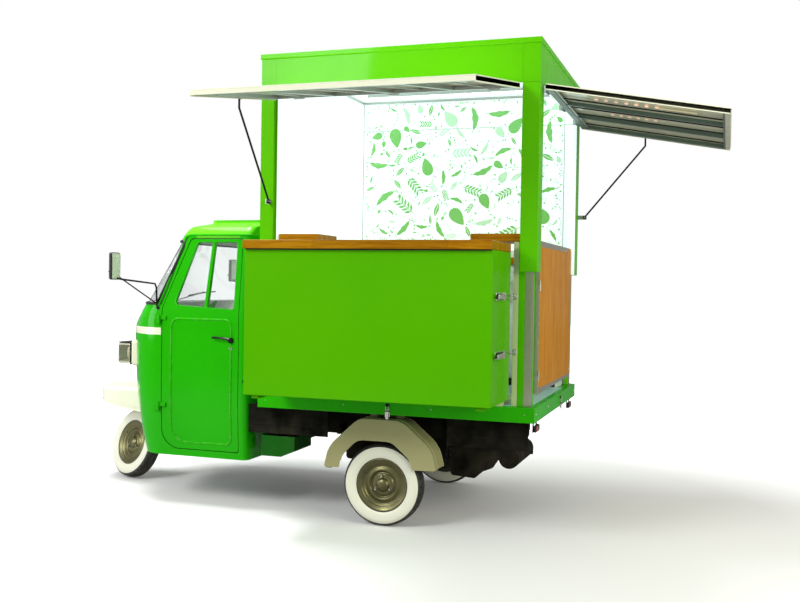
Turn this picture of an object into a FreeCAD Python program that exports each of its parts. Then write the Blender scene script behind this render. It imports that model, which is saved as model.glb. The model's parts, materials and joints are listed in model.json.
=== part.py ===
"""Three-wheeled food truck with a pop-up shell, two awnings and a slide-out counter.

Built as separate named sub-parts, one STEP file each, in millimetres. While the pieces are made,
+X points forward, +Y to the vehicle's left and +Z up, and the origin is on the ground under the
middle of the rear axle. At the end every piece is shifted so that the origin lies at the bottom
centre of the whole vehicle's box.
"""
import FreeCAD, Part
import math
import os

V = FreeCAD.Vector
X_AXIS = V(1, 0, 0)
Y_AXIS = V(0, 1, 0)
Z_AXIS = V(0, 0, 1)

# ---------------------------------------------------------------- driving dimensions (mm)
# overall
WHEELBASE = 2100.0
BODY_HALF = 735.0             # half the width of the box body
BODY_REAR = -885.0
BODY_FRONT = 783.0
SILL_BOTTOM = 650.0
SILL_TOP = 735.0
ROOF_TOP = 2745.0             # with the shell raised
# clearances
RUNNING_CLEARANCE = 0.05      # radial, in every turning fit
SEAT_GAP = 0.3                # between a piece and the curved or sliding face it sits by
MOVING_CLEARANCE = 6.0        # between moving pieces that only pass each other
GUIDE_GAP = 10.0              # between the fixed body and the shell that slides over it
PANEL_GAP = 5.0               # round a door
# wheels
TYRE_RADIUS = 238.0
TYRE_WIDTH = 110.0
RIM_RADIUS = 150.0            # rim flange
RIM_SEAT_RADIUS = 134.0       # bead seat, where the tyre sits
RIM_WALL = 4.0
WHEEL_INSET = 80.0            # from the body's side to the rear wheel's middle
SPINDLE_RADIUS = 15.0
# steering
STEER_RAKE = 34.0             # degrees, the steering axis leans back from the vertical
STEER_REST = -28.0            # degrees, the front wheel is parked turned to the right
HANDLEBAR_HALF = 290.0
HANDLEBAR_RADIUS = 11.0
GRIP_RADIUS = 15.0
COLUMN_RADIUS = 19.0
HEAD_RADIUS = 36.0
CROWN_REACH = 283.0           # from the hub, along the steering axis, to the fork's crown
HEAD_START = 348.0            # steering head, along the same axis
HEAD_END = 528.0
COLUMN_END = 900.0
FORK_GAP = 32.0               # from the tyre's side to the middle of the fork's arm
# chassis
RAIL_Y = 300.0
RAIL_WIDTH = 50.0
RAIL_BOTTOM = 460.0
CROSS_BOTTOM = 560.0
CROSS_WIDTH = 50.0
TUNNEL_HALF = 45.0
TUNNEL_TOP = 390.0
BACKBONE_RADIUS = 32.0
BEARER_WIDTH = 50.0
FLOOR_THICK = 25.0
SILL_RIM = 30.0
HANGER_THICK = 4.0
SHEET = 4.0                   # mudguards
ENGINE_HALF = 165.0
ENGINE_BOTTOM = 255.0
TANK_INNER = 345.0            # from the middle to the tank's and the battery box's inner face
TANK_OUTER = 600.0
# raised upper shell
ROOF_CAP = 30.0
ROOF_LIP = 6.0
FASCIA_BOTTOM = 2503.0
SHELL_BOTTOM = 1475.0
SHELL_SKIN = 25.0
REAR_POST_SIDE = 98.0         # width of a rear corner post on the vehicle's side
REAR_POST_BACK = 110.0        # and on its back
FRONT_POST_SIDE = 126.0
FRONT_WALL = 98.0
# fixed lower body
FIXED_SKIN = 18.0
FIXED_TOP = 1640.0
TUBE = 40.0                   # square aluminium corner tube
TUBE_WALL = 3.0
GREEN_COLUMN = 36.0
GREEN_COLUMN_DEPTH = 24.0
CREAM_POST = 30.0
JAMB_WIDTH = 42.0
JAMB_DEPTH = 24.0
PAD_LENGTH = 30.0             # nylon pads that guide the shell
PAD_HEIGHT = 70.0
# counter
COUNTER_BOTTOM = 776.0
COUNTER_REACH = 438.0         # how far its face stands out from the body's side
COUNTER_WOOD = 48.0
COUNTER_TOP = 1627.0
COUNTER_OVERHANG = 30.0
COUNTER_DEPTH = 430.0
COUNTER_WALL = 20.0
RUNNER_WIDTH = 40.0
RUNNER_INSET = 40.0
RUNNER_TAIL = 180.0           # how far the moving runner reaches in behind the box
# fixed fittings inside the body
FRONT_WORKTOP_LENGTH = 255.0
REAR_WORKTOP_LENGTH = 338.0
WORKTOP_DEPTH = 290.0
WORKTOP_THICK = 45.0
CABINET_DEPTH = 292.0
CABINET_TOP = 1540.0
# tail
LAMP_BRACKET_BOTTOM = 487.0
LAMP_BRACKET_WIDTH = 130.0
LAMP_BRACKET_INSET = 85.0
LAMP_BORDER = 15.0
LAMP_THICK = 18.0
TAIL_PLANE = -862.0           # rear face of the lamp and plate brackets
PLATE_HOLDER_HALF = 170.0
PLATE_HEIGHT = 560.0
PLATE_HOLES = 240.0
PLATE_HOLE_RADIUS = 3.5
# awnings
AWNING_THICK = 28.0
AWNING_FRAME = 40.0
AWNING_RIB = 28.0
AWNING_SKIN = 6.0
AWNING_DROP = 12.0            # from the hinge line to the awning's first bar
SIDE_AWNING_LENGTH = 990.0
SIDE_AWNING_DROOP = 9.2       # degrees below level when open
SIDE_AWNING_RIBS = 3
REAR_AWNING_LENGTH = 985.0
REAR_AWNING_DROOP = 10.2
REAR_AWNING_RIBS = 2
HINGE_HEIGHT = 2474.0
KNUCKLE_RADIUS = 6.0
KNUCKLE_PIN = 3.0
KNUCKLE_HALF = 15.0           # half the length of an awning hinge's middle knuckle
KNUCKLE_SIDE = 20.0           # length of each outer knuckle
# prop stays
STAY_RADIUS = 6.0
STAY_FOOT_HEIGHT = 1870.0
STAY_LENGTH = 615.0
STAY_END = 52.0               # upright end
STAY_TIP = 14.0
STAY_STANDOFF = 46.0
STAY_BESIDE = 22.0            # from the awning's edge to the stay
STAY_PIN = 5.0
STAY_EYE = 12.0
SIDE_STAY_LEAN = 38.3         # degrees from the upright
REAR_STAY_LEAN = 39.7
# rear door
REAR_DOOR_BOTTOM = 800.0
REAR_DOOR_TOP = 1650.0
REAR_DOOR_THICK = 32.0
REAR_DOOR_STILE = 34.0
REAR_DOOR_RECESS = 7.0
REAR_PANEL_INSET = 6.0
REAR_HINGE_PLATE = 3.5
REAR_HINGE_HEIGHTS = (900.0, 1400.0)
REAR_STRAP_LENGTH = 50.0
# cab, measured forward from its rear face
CAB_NOSE_BACK = 1195.0        # from the cab's rear face to the front wheel's hub
CAB_WALL = 22.0
CAB_HALF = 650.0
CAB_FLOOR_TOP = 322.0
DOOR_THICK = 30.0
DOOR_FRONT_REACH = 595.0
DOOR_REAR_REACH = 52.0
DOOR_BOTTOM = 342.0
DOOR_TOP = 1664.0
DOOR_DEPTH = 130.0            # how deep a doorway cuts into the cab from its widest side
BELT = 1212.0
WAIST = 1225.0                # where the windscreen posts start
SHOULDER = 1682.0             # where the roof starts to round over
WINDOW_BORDER = 36.0
WINDOW_BAR = 20.0
WINDOW_BAR_REACH = 271.0
GLASS = 5.0
GLASS_INSET = 8.0
SCREEN_HALF = 470.0
SCREEN_BOTTOM = 1270.0
SCREEN_TOP = 1640.0
BACK_LIGHT_HALF = 330.0
BACK_LIGHT_BOTTOM = 1300.0
BACK_LIGHT_TOP = 1600.0
ARCH_REACH = 895.0            # open arch over the steered front wheel
ARCH_HALF = 300.0
ARCH_TOP = 520.0
DASH_REACH = 785.0
DASH_BOTTOM = 1110.0
DASH_TOP = 1180.0
SEAT_HALF = 510.0
SEAT_BASE_TOP = 640.0
SEAT_BASE_REACH = 405.0
CUSHION_TOP = 745.0
BACKREST_THICK = 70.0
BACKREST_TOP = 1120.0
HINGE_PIN = 4.0
HINGE_RADIUS = 9.0
HINGE_HALF_LENGTH = 26.0
HINGE_STANDOFF = 12.0         # from the cab's side to a door's hinge pin
DOOR_HINGE_HEIGHTS = (605.0, 1150.0)
# lamps, front mudguard and mirrors
LAMP_Y = 420.0
LAMP_HEIGHT = 920.0
POD_HALF = 80.0
LENS_HALF = 70.0
FRONT_GUARD_REACH = 238.0     # how far its tip stands out ahead of the hub
FRONT_GUARD_HALF = 250.0
FRONT_GUARD_TOP = 662.0
MIRROR_REACH = 870.0
MIRROR_Y = 765.0
MIRROR_HEIGHT = 1485.0

# ---------------------------------------------------------------- derived places
REAR_TRACK_HALF = BODY_HALF - WHEEL_INSET
CAB_REAR = WHEELBASE - CAB_NOSE_BACK
ARCH_BACK = CAB_REAR + ARCH_REACH
ARCH_FRONT = WHEELBASE + 100.0
BACKBONE_FOOT = V(CAB_REAR + 785.0, 0, 372.0)
CEILING = ROOF_TOP - ROOF_CAP
SHELL_INNER_HALF = BODY_HALF - SHELL_SKIN
SHELL_WALL_BACK = BODY_FRONT - FRONT_WALL
FIXED_HALF = SHELL_INNER_HALF - GUIDE_GAP
FIXED_REAR = BODY_REAR + SHELL_SKIN + MOVING_CLEARANCE
FIXED_FRONT = SHELL_WALL_BACK - GUIDE_GAP
FIXED_WALL_BACK = FIXED_FRONT - FIXED_SKIN
FIXED_FAR = -FIXED_HALF + FIXED_SKIN
LATCH_POST_REAR = FIXED_REAR + TUBE + GREEN_COLUMN
COUNTER_FACE = BODY_HALF + COUNTER_REACH
COUNTER_BACK = COUNTER_FACE - COUNTER_DEPTH
COUNTER_FRONT = FIXED_WALL_BACK - MOVING_CLEARANCE
COUNTER_REAR = LATCH_POST_REAR + CREAM_POST + MOVING_CLEARANCE
WOOD_BOTTOM = COUNTER_TOP - COUNTER_WOOD
CABINET_FACE = FIXED_FAR + CABINET_DEPTH
WORKTOP_FACE = CABINET_FACE + 25.0
ROOF_TRAVEL = SHELL_BOTTOM - SILL_TOP - MOVING_CLEARANCE
COUNTER_TRAVEL = COUNTER_FACE + COUNTER_OVERHANG - (BODY_HALF - MOVING_CLEARANCE)
SIDE_HINGE = V(0, BODY_HALF + KNUCKLE_RADIUS, HINGE_HEIGHT)
REAR_HINGE = V(BODY_REAR - KNUCKLE_RADIUS, 0, HINGE_HEIGHT)
SIDE_AWNING_REAR = BODY_REAR + REAR_POST_SIDE + GUIDE_GAP
SIDE_AWNING_FRONT = BODY_FRONT - 103.0
REAR_AWNING_HALF = BODY_HALF - 40.0
SIDE_STAY_FOOT = V(SIDE_AWNING_FRONT + STAY_BESIDE, BODY_HALF + STAY_STANDOFF, STAY_FOOT_HEIGHT)
REAR_STAY_FOOT = V(BODY_REAR - STAY_STANDOFF, -REAR_AWNING_HALF - STAY_BESIDE, STAY_FOOT_HEIGHT)
DOOR_JAMB = FIXED_HALF - TUBE - JAMB_WIDTH
REAR_DOOR_REAR = BODY_REAR + REAR_DOOR_RECESS
REAR_DOOR_HALF = DOOR_JAMB - REAR_HINGE_PLATE - 1.1 * KNUCKLE_RADIUS
REAR_DOOR_PIN = V(REAR_DOOR_REAR - 2.0, DOOR_JAMB - REAR_HINGE_PLATE - KNUCKLE_RADIUS / 2, 0)
DOOR_FRONT = CAB_REAR + DOOR_FRONT_REACH
DOOR_REAR = CAB_REAR + DOOR_REAR_REACH
HINGE_X = DOOR_FRONT + 11.0
HINGE_Y = CAB_HALF + HINGE_STANDOFF
MIRROR_HEAD = V(CAB_REAR + MIRROR_REACH, MIRROR_Y, MIRROR_HEIGHT)

# cab outline by height: half width, where the front rounding starts (forward of the cab's rear
# face), how far the nose stands out from there, and the corner radius
CAB_SECTIONS = (
    # height, half, start, nose, corner
    (300.0, 625.0, 600.0, 285.0, 190.0),
    (460.0, 640.0, 600.0, 365.0, 250.0),
    (720.0, CAB_HALF, 600.0, 440.0, 290.0),
    (1075.0, CAB_HALF, 600.0, 465.0, 300.0),
    (WAIST, 648.0, 585.0, 370.0, 250.0),
    (SHOULDER, 602.0, 413.0, 130.0, 95.0),
    (1745.0, 560.0, 395.0, 95.0, 70.0),
    (1786.0, 440.0, 325.0, 60.0, 50.0),
)
CAB_LOW = CAB_SECTIONS[0][0]
CAB_HIGH = CAB_SECTIONS[-1][0]

# rear mudguard from the side, (x, z, corner radius): outer edge and wheel opening
MUDGUARD_OUTER = (
    (346, 327, 0), (318, 450, 160), (135, 620, 110), (-127, 620, 110), (-305, 470, 160), (-336, 350, 0),
)
MUDGUARD_OPENING = (
    (256, 300, 0), (240, 400, 60), (143, 500, 50), (-68, 500, 50), (-180, 405, 60), (-205, 300, 0),
)

# bearers under the floor, x of the middle: each carries what hangs below it
BEARER_EXHAUST = -640.0
BEARER_GUARD_REAR = -80.0
BEARER_GUARD_FRONT = 80.0
BEARER_TANK_REAR = 505.0
BEARER_BATTERY = 640.0
BEARER_TANK_FRONT = 732.0
BEARERS = (BEARER_EXHAUST, BEARER_GUARD_REAR, BEARER_GUARD_FRONT,
           BEARER_TANK_REAR, BEARER_BATTERY, BEARER_TANK_FRONT)


# ---------------------------------------------------------------- shape helpers
def box(x0, x1, y0, y1, z0, z1):
    """Block between two corners, given in any order along Y."""
    y0, y1 = min(y0, y1), max(y0, y1)
    return Part.makeBox(x1 - x0, y1 - y0, z1 - z0, V(x0, y0, z0))


def rod(start, end, radius):
    """Round bar from one point to another."""
    run = end.sub(start)
    return Part.makeCylinder(radius, run.Length, start, run)


def union(shapes):
    """Fuse a list of overlapping or touching shapes."""
    first, rest = shapes[0], shapes[1:]
    return first.multiFuse(rest).removeSplitter() if rest else first


def group(shapes):
    """Keep separate solids together as one sub-part."""
    return Part.makeCompound(shapes)


def mirrored(shape):
    """The same shape on the vehicle's other side."""
    return shape.mirror(V(0, 0, 0), Y_AXIS)


def both_sides(shape):
    """A shape with its twin on the vehicle's other side."""
    return group([shape, mirrored(shape)])


def turned(shape, centre, axis, degrees):
    """A copy turned about an axis through centre."""
    copy = shape.copy()
    copy.rotate(centre, axis, degrees)
    return copy


def rounded_wire(corners, radii):
    """Closed wire on corner points, with a tangent arc of the given radius at each corner."""
    count = len(corners)
    entries, exits, mids = [], [], []
    for i in range(count):
        here, before, after = corners[i], corners[i - 1], corners[(i + 1) % count]
        back = before.sub(here).normalize()
        ahead = after.sub(here).normalize()
        half = back.getAngle(ahead) / 2
        reach = radii[i] / math.tan(half)
        bisector = back.add(ahead).normalize()
        entries.append(here.add(back * reach))
        exits.append(here.add(ahead * reach))
        mids.append(here.add(bisector * (radii[i] / math.sin(half) - radii[i])))
    edges = []
    for i in range(count):
        if radii[i] > 0:
            edges.append(Part.Arc(entries[i], mids[i], exits[i]).toShape())
        following = entries[(i + 1) % count]
        if exits[i].distanceToPoint(following) > 0.01:
            edges.append(Part.LineSegment(exits[i], following).toShape())
    return Part.Wire(edges)


def side_prism(outline, y0, y1):
    """Prism across the vehicle on (x, z, corner radius) rows, from y0 to y1."""
    corners = [V(x, y0, z) for x, z, _ in outline]
    radii = [radius for _, _, radius in outline]
    return Part.Face(rounded_wire(corners, radii)).extrude(V(0, y1 - y0, 0))


def ring_section(rows, centre):
    """Solid of revolution on (axial, radial, corner radius) rows about Y through centre."""
    corners = [V(centre.x, centre.y + axial, centre.z + radial) for axial, radial, _ in rows]
    radii = [radius for _, _, radius in rows]
    return Part.Face(rounded_wire(corners, radii)).revolve(centre, Y_AXIS, 360)


# ---------------------------------------------------------------- wheels
RIM_BEAD = TYRE_WIDTH / 2 * 0.72 - RIM_WALL     # half the distance between the bead seats
RIM_FLANGE = RIM_BEAD + 2.0                     # inner face of a flange at its edge


def tyre(centre):
    """Round-shouldered tyre on its bead seats, with the axle along Y."""
    half = TYRE_WIDTH / 2
    shoulder = TYRE_RADIUS - 34
    side = [
        (RIM_BEAD, RIM_SEAT_RADIUS, 0),
        (RIM_FLANGE, RIM_RADIUS, 0),
        (RIM_FLANGE + RIM_WALL, RIM_RADIUS, 0),
        (half, RIM_RADIUS + 22, 12),
        (half, shoulder, 20),
        (half * 0.62, TYRE_RADIUS, 18),
    ]
    mirror_side = [(-axial, radial, radius) for axial, radial, radius in reversed(side)]
    return ring_section(side + mirror_side, centre)


def rim(centre, outward):
    """Dished steel wheel with its hub, bored for the spindle. outward is +1 or -1 along Y."""
    half = TYRE_WIDTH / 2
    bore = SPINDLE_RADIUS + RUNNING_CLEARANCE
    flange = RIM_FLANGE + RIM_WALL
    section = [
        (-flange, RIM_RADIUS),
        (-RIM_FLANGE, RIM_RADIUS),
        (-RIM_BEAD, RIM_SEAT_RADIUS),
        (RIM_BEAD, RIM_SEAT_RADIUS),
        (RIM_FLANGE, RIM_RADIUS),
        (flange, RIM_RADIUS),
        (flange, RIM_SEAT_RADIUS - 6),
        (half * 0.30, RIM_SEAT_RADIUS - 20),
        (half * 0.20, 88),
        (half * 0.46, 74),
        (half * 0.46, 40),
        (half * 0.80, 34),
        (half * 0.88, bore),
        (-half * 0.42, bore),
        (-half * 0.42, 36),
        (half * 0.10, 60),
        (0, RIM_SEAT_RADIUS - 22),
        (-flange, RIM_SEAT_RADIUS - 8),
    ]
    return ring_section([(axial * outward, radial, 0) for axial, radial in section], centre)


def spindle(centre, outward, back):
    """Stub axle through the hub, from a distance back behind the wheel's middle to its hub face."""
    start = centre.add(V(0, -outward * back, 0))
    end = centre.add(V(0, outward * TYRE_WIDTH * 0.42, 0))
    return rod(start, end, SPINDLE_RADIUS)


def steer_axis():
    """Direction of the steering axis, pointing up and back."""
    lean = math.radians(STEER_RAKE)
    return V(-math.sin(lean), 0, math.cos(lean))


def resting_hub():
    """Hub of the front wheel, at the height that rests its leaning tyre on the ground."""
    hub = V(WHEELBASE, 0, 0)
    leaning = turned(tyre(hub), hub, steer_axis(), STEER_REST)
    hub.z = -leaning.optimalBoundingBox(False).ZMin
    return hub


FRONT_HUB = resting_hub()


def steered(shape):
    """Turn a piece of the front assembly from straight ahead to its parked angle."""
    return turned(shape, FRONT_HUB, steer_axis(), STEER_REST)


def along_steering(distance):
    """Point on the steering axis at a distance above the hub."""
    return FRONT_HUB.add(steer_axis() * distance)


def make_wheels(parts):
    """Rear wheels, and the front wheel at its parked angle."""
    for side, outward in (("left", 1), ("right", -1)):
        centre = V(0, outward * REAR_TRACK_HALF, TYRE_RADIUS)
        parts["tyre_" + side] = tyre(centre)
        parts["rim_" + side] = rim(centre, outward)
    parts["tyre_front"] = steered(tyre(FRONT_HUB))
    parts["rim_front"] = steered(rim(FRONT_HUB, 1))


def make_steering(parts):
    """Single-sided fork with its column, and the handlebar clamped on the column."""
    axis = steer_axis()
    crown = along_steering(CROWN_REACH)
    column_top = along_steering(COLUMN_END)
    arm_y = -(TYRE_WIDTH / 2 + FORK_GAP)
    shoulder = crown.add(V(0, arm_y, -6))
    eye = FRONT_HUB.add(V(0, arm_y, 0))
    parts["steering_fork"] = steered(union([
        rod(crown.sub(axis * 22), column_top, COLUMN_RADIUS),
        rod(crown.add(V(0, 12, 0)), shoulder, 20),
        rod(shoulder, eye, 18),
        rod(eye.add(V(0, -22, 0)), eye.add(V(0, 12, 0)), 34),
        spindle(FRONT_HUB, 1, -arm_y),
    ]))
    straight = 110.0
    swept = 190.0
    sweep = V(-60, 0, -15)
    bars = [rod(column_top.add(V(0, -straight, 0)), column_top.add(V(0, straight, 0)), HANDLEBAR_RADIUS)]
    for side in (-1, 1):
        bend = column_top.add(V(0, side * (straight - 2), 0))
        inner = column_top.add(V(0, side * swept, 0)).add(sweep)
        outer = column_top.add(V(0, side * HANDLEBAR_HALF, 0)).add(sweep)
        bars.append(rod(bend, inner, HANDLEBAR_RADIUS))
        bars.append(rod(inner, outer, GRIP_RADIUS))
    clamp = rod(column_top.sub(axis * 10), column_top.add(axis * 40), 30)
    parts["handlebar"] = steered(union(bars + [clamp]).cut(rod(crown, column_top, COLUMN_RADIUS)))


# ---------------------------------------------------------------- chassis
def backbone(radius):
    """Round member from the tunnel up to the middle of the steering head."""
    return rod(BACKBONE_FOOT, along_steering((HEAD_START + HEAD_END) / 2), radius)


def make_chassis(parts):
    """Ladder frame with its tunnel and steering head."""
    axis = steer_axis()
    rear = BODY_REAR + 60
    rail_end = CAB_REAR - RAIL_WIDTH
    inner_y = RAIL_Y - RAIL_WIDTH / 2
    outer_y = RAIL_Y + RAIL_WIDTH / 2
    pieces = [
        box(rail_end, CAB_REAR, -RAIL_Y, RAIL_Y, CAB_FLOOR_TOP, TUNNEL_TOP),
        box(CAB_REAR - 10, BACKBONE_FOOT.x + 10, -TUNNEL_HALF, TUNNEL_HALF, CAB_FLOOR_TOP, TUNNEL_TOP),
        backbone(BACKBONE_RADIUS),
        rod(along_steering(HEAD_START), along_steering(HEAD_END), HEAD_RADIUS),
    ]
    for side in (-1, 1):
        pieces.append(box(rear, CAB_REAR, side * inner_y, side * outer_y, RAIL_BOTTOM, SILL_BOTTOM))
        pieces.append(box(rail_end, CAB_REAR, side * inner_y, side * outer_y, CAB_FLOOR_TOP, RAIL_BOTTOM))
    for x in (rear, -250.0, 330.0, BODY_FRONT - 83):
        pieces.append(box(x, x + CROSS_WIDTH, -RAIL_Y, RAIL_Y, CROSS_BOTTOM, SILL_BOTTOM - 10))
    bore = rod(along_steering(HEAD_START).sub(axis * 20), along_steering(HEAD_END).add(axis * 20),
               COLUMN_RADIUS + RUNNING_CLEARANCE)
    parts["chassis_frame"] = union(pieces).cut(bore)


def make_running_gear(parts):
    """Trailing arms with their stub axles and drive shafts, the engine block and the exhaust."""
    inside = REAR_TRACK_HALF - TYRE_WIDTH / 2
    outer_y = RAIL_Y + RAIL_WIDTH / 2
    pivot_x, pivot_z = 360.0, 505.0
    arms = []
    for side in (-1, 1):
        hub = V(0, side * REAR_TRACK_HALF, TYRE_RADIUS)
        arms.append(union([
            rod(V(pivot_x, side * outer_y, pivot_z), V(pivot_x, side * (outer_y + 155), pivot_z), 26),
            rod(V(pivot_x, side * (outer_y + 100), pivot_z), V(0, side * (inside - 62), TYRE_RADIUS), 28),
            rod(V(0, side * (inside - 8), TYRE_RADIUS), V(0, side * (inside - 100), TYRE_RADIUS), 60),
            rod(V(0, side * (ENGINE_HALF + 5), 330), V(0, side * (inside - 80), TYRE_RADIUS + 10), 16),
            spindle(hub, side, TYRE_WIDTH / 2 + 30),
        ]))
    parts["rear_axle"] = group(arms)
    parts["engine"] = box(-500, 120, -ENGINE_HALF, ENGINE_HALF, ENGINE_BOTTOM, CROSS_BOTTOM)
    x = BEARER_EXHAUST
    silencer_z = 360.0
    hangers = [box(x - 15, x + 15, side * 170, side * 200, silencer_z, SILL_BOTTOM) for side in (-1, 1)]
    parts["exhaust"] = union(hangers + [
        rod(V(x, -230, silencer_z), V(x, 230, silencer_z), 62),
        rod(V(x, 120, silencer_z), V(-500, 120, silencer_z), 18),
        rod(V(x, -190, silencer_z - 15), V(x - 210, -190, silencer_z - 30), 17),
    ])


def hanger(x, y, bottom):
    """Flat strap from a bearer down to what it carries."""
    return box(x - 12, x + 12, y, y + HANGER_THICK, bottom, SILL_BOTTOM)


def make_tank_and_battery(parts):
    """Battery box on the left and fuel tank on the right, each on straps from the bearers."""
    strap_y = TANK_OUTER - 40
    battery = side_prism([(600, 460, 0), (820, 460, 0), (820, 335, 0), (690, 335, 0), (600, 375, 0)],
                         TANK_INNER, TANK_OUTER)
    straps = [hanger(x, strap_y, 455) for x in (BEARER_BATTERY, BEARER_TANK_FRONT)]
    parts["battery_box"] = union([battery] + straps)
    tank = side_prism([(430, 350, 40), (800, 350, 40), (800, 540, 40), (430, 540, 40)],
                      -TANK_OUTER, -TANK_INNER)
    straps = [hanger(x, -strap_y, 530) for x in (BEARER_TANK_REAR, BEARER_TANK_FRONT)]
    parts["fuel_tank"] = union([tank] + straps)


def make_mudguards(parts):
    """Rear mudguards: a bent top strip and a flat outer face, hung from the bearers."""
    y_out = BODY_HALF + 5
    y_in = REAR_TRACK_HALF - TYRE_WIDTH / 2 - 25
    solid = side_prism(MUDGUARD_OUTER, y_in, y_out)
    half_length = MUDGUARD_OUTER[0][0]
    low = MUDGUARD_OUTER[0][1]
    inner = [(x * (1 - SHEET / half_length), z - SHEET, radius) for x, z, radius in MUDGUARD_OUTER]
    inner[0] = (MUDGUARD_OUTER[0][0] - SHEET, low - 100, 0)
    inner[-1] = (MUDGUARD_OUTER[-1][0] + SHEET, low - 100, 0)
    hollow = side_prism(inner, y_in - 1, y_out - SHEET)
    opening = side_prism(MUDGUARD_OPENING, y_in - 1, y_out + 1)
    top = MUDGUARD_OUTER[2][1]
    brackets = [box(x - 20, x + 20, y_in + 10, y_in + 50, top - SHEET, SILL_BOTTOM)
                for x in (BEARER_GUARD_REAR, BEARER_GUARD_FRONT)]
    parts["rear_mudguards"] = both_sides(union([solid.cut(hollow).cut(opening)] + brackets))


# ---------------------------------------------------------------- body base and fixed lower body
def make_body_base(parts):
    """Sill frame with the floor on its bearers, the lower walls, the corner tubes and columns."""
    floor_bottom = SILL_TOP - FLOOR_THICK
    rim_y = BODY_HALF - SILL_RIM
    outer = box(BODY_REAR, BODY_FRONT, -BODY_HALF, BODY_HALF, SILL_BOTTOM, SILL_TOP)
    hollow = box(BODY_REAR + SILL_RIM, BODY_FRONT - SILL_RIM, -rim_y, rim_y, SILL_BOTTOM - 1, floor_bottom)
    half = BEARER_WIDTH / 2
    for x in BEARERS:
        hollow = hollow.cut(box(x - half, x + half, -BODY_HALF, BODY_HALF, SILL_BOTTOM - 2, SILL_TOP))
    parts["sill_frame"] = outer.cut(hollow)

    parts["lower_walls"] = union([
        box(FIXED_REAR, FIXED_FRONT, -FIXED_HALF, FIXED_FAR, SILL_TOP, FIXED_TOP),
        box(FIXED_WALL_BACK, FIXED_FRONT, FIXED_FAR, FIXED_HALF, SILL_TOP, FIXED_TOP),
    ])
    tubes = []
    corners = ((FIXED_REAR, FIXED_HALF - TUBE), (FIXED_REAR, FIXED_FAR), (FIXED_WALL_BACK - TUBE, FIXED_FAR))
    for x, y in corners:
        outside = box(x, x + TUBE, y, y + TUBE, SILL_TOP, FIXED_TOP)
        inside = box(x + TUBE_WALL, x + TUBE - TUBE_WALL, y + TUBE_WALL, y + TUBE - TUBE_WALL,
                     SILL_TOP - 1, FIXED_TOP + 1)
        tubes.append(outside.cut(inside))
    parts["corner_tubes"] = group(tubes)
    parts["latch_post"] = box(LATCH_POST_REAR, LATCH_POST_REAR + CREAM_POST, FIXED_HALF - CREAM_POST,
                              FIXED_HALF, SILL_TOP, FIXED_TOP)
    columns = [box(FIXED_REAR + TUBE, LATCH_POST_REAR, FIXED_HALF - GREEN_COLUMN_DEPTH, FIXED_HALF,
                   SILL_TOP, FIXED_TOP)]
    for y0, y1 in ((DOOR_JAMB, FIXED_HALF - TUBE), (FIXED_FAR + TUBE, -DOOR_JAMB)):
        columns.append(box(FIXED_REAR, FIXED_REAR + JAMB_DEPTH, y0, y1, SILL_TOP, FIXED_TOP))
    parts["corner_columns"] = group(columns)


def make_slide_pads(parts):
    """Nylon pads at the top of the fixed body, which guide the shell as it slides."""
    reach = GUIDE_GAP - SEAT_GAP
    back_reach = MOVING_CLEARANCE - SEAT_GAP
    low, high = FIXED_TOP - PAD_HEIGHT - 10, FIXED_TOP - 10
    pads = []
    side_places = (
        (FIXED_REAR + 5, 1, PAD_LENGTH), (FIXED_REAR + 5, -1, PAD_LENGTH),
        (FIXED_WALL_BACK + 3, 1, FIXED_SKIN - 6), (FIXED_WALL_BACK - PAD_LENGTH, -1, PAD_LENGTH),
    )
    for x, side, length in side_places:
        pads.append(box(x, x + length, side * FIXED_HALF, side * (FIXED_HALF + reach), low, high))
    for y in (FIXED_HALF - TUBE + 5, FIXED_FAR + 5):
        pads.append(box(FIXED_REAR - back_reach, FIXED_REAR, y, y + PAD_LENGTH, low, high))
    for y in (-BODY_HALF * 0.8, BODY_HALF * 0.8):
        pads.append(box(FIXED_FRONT, FIXED_FRONT + reach, y - PAD_LENGTH / 2, y + PAD_LENGTH / 2, low, high))
    parts["slide_pads"] = group(pads)


def make_interior(parts):
    """Fixed worktops at both ends of the hatch and the cabinet along the right wall."""
    hatch_back = FIXED_HALF - WORKTOP_DEPTH
    hatch_rear = FIXED_REAR + JAMB_DEPTH - 8
    hatch_top = FIXED_TOP + WORKTOP_THICK
    rear, front = FIXED_REAR + TUBE, FIXED_WALL_BACK - TUBE
    parts["worktops"] = group([
        box(FIXED_FRONT - FRONT_WORKTOP_LENGTH, FIXED_FRONT, hatch_back, FIXED_HALF, FIXED_TOP, hatch_top),
        box(hatch_rear, hatch_rear + REAR_WORKTOP_LENGTH, hatch_back, FIXED_HALF, FIXED_TOP, hatch_top),
        box(rear, front, FIXED_FAR, WORKTOP_FACE, CABINET_TOP, CABINET_TOP + WORKTOP_THICK),
    ])
    parts["back_cabinet"] = box(rear, front, FIXED_FAR, CABINET_FACE, SILL_TOP, CABINET_TOP)


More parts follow.
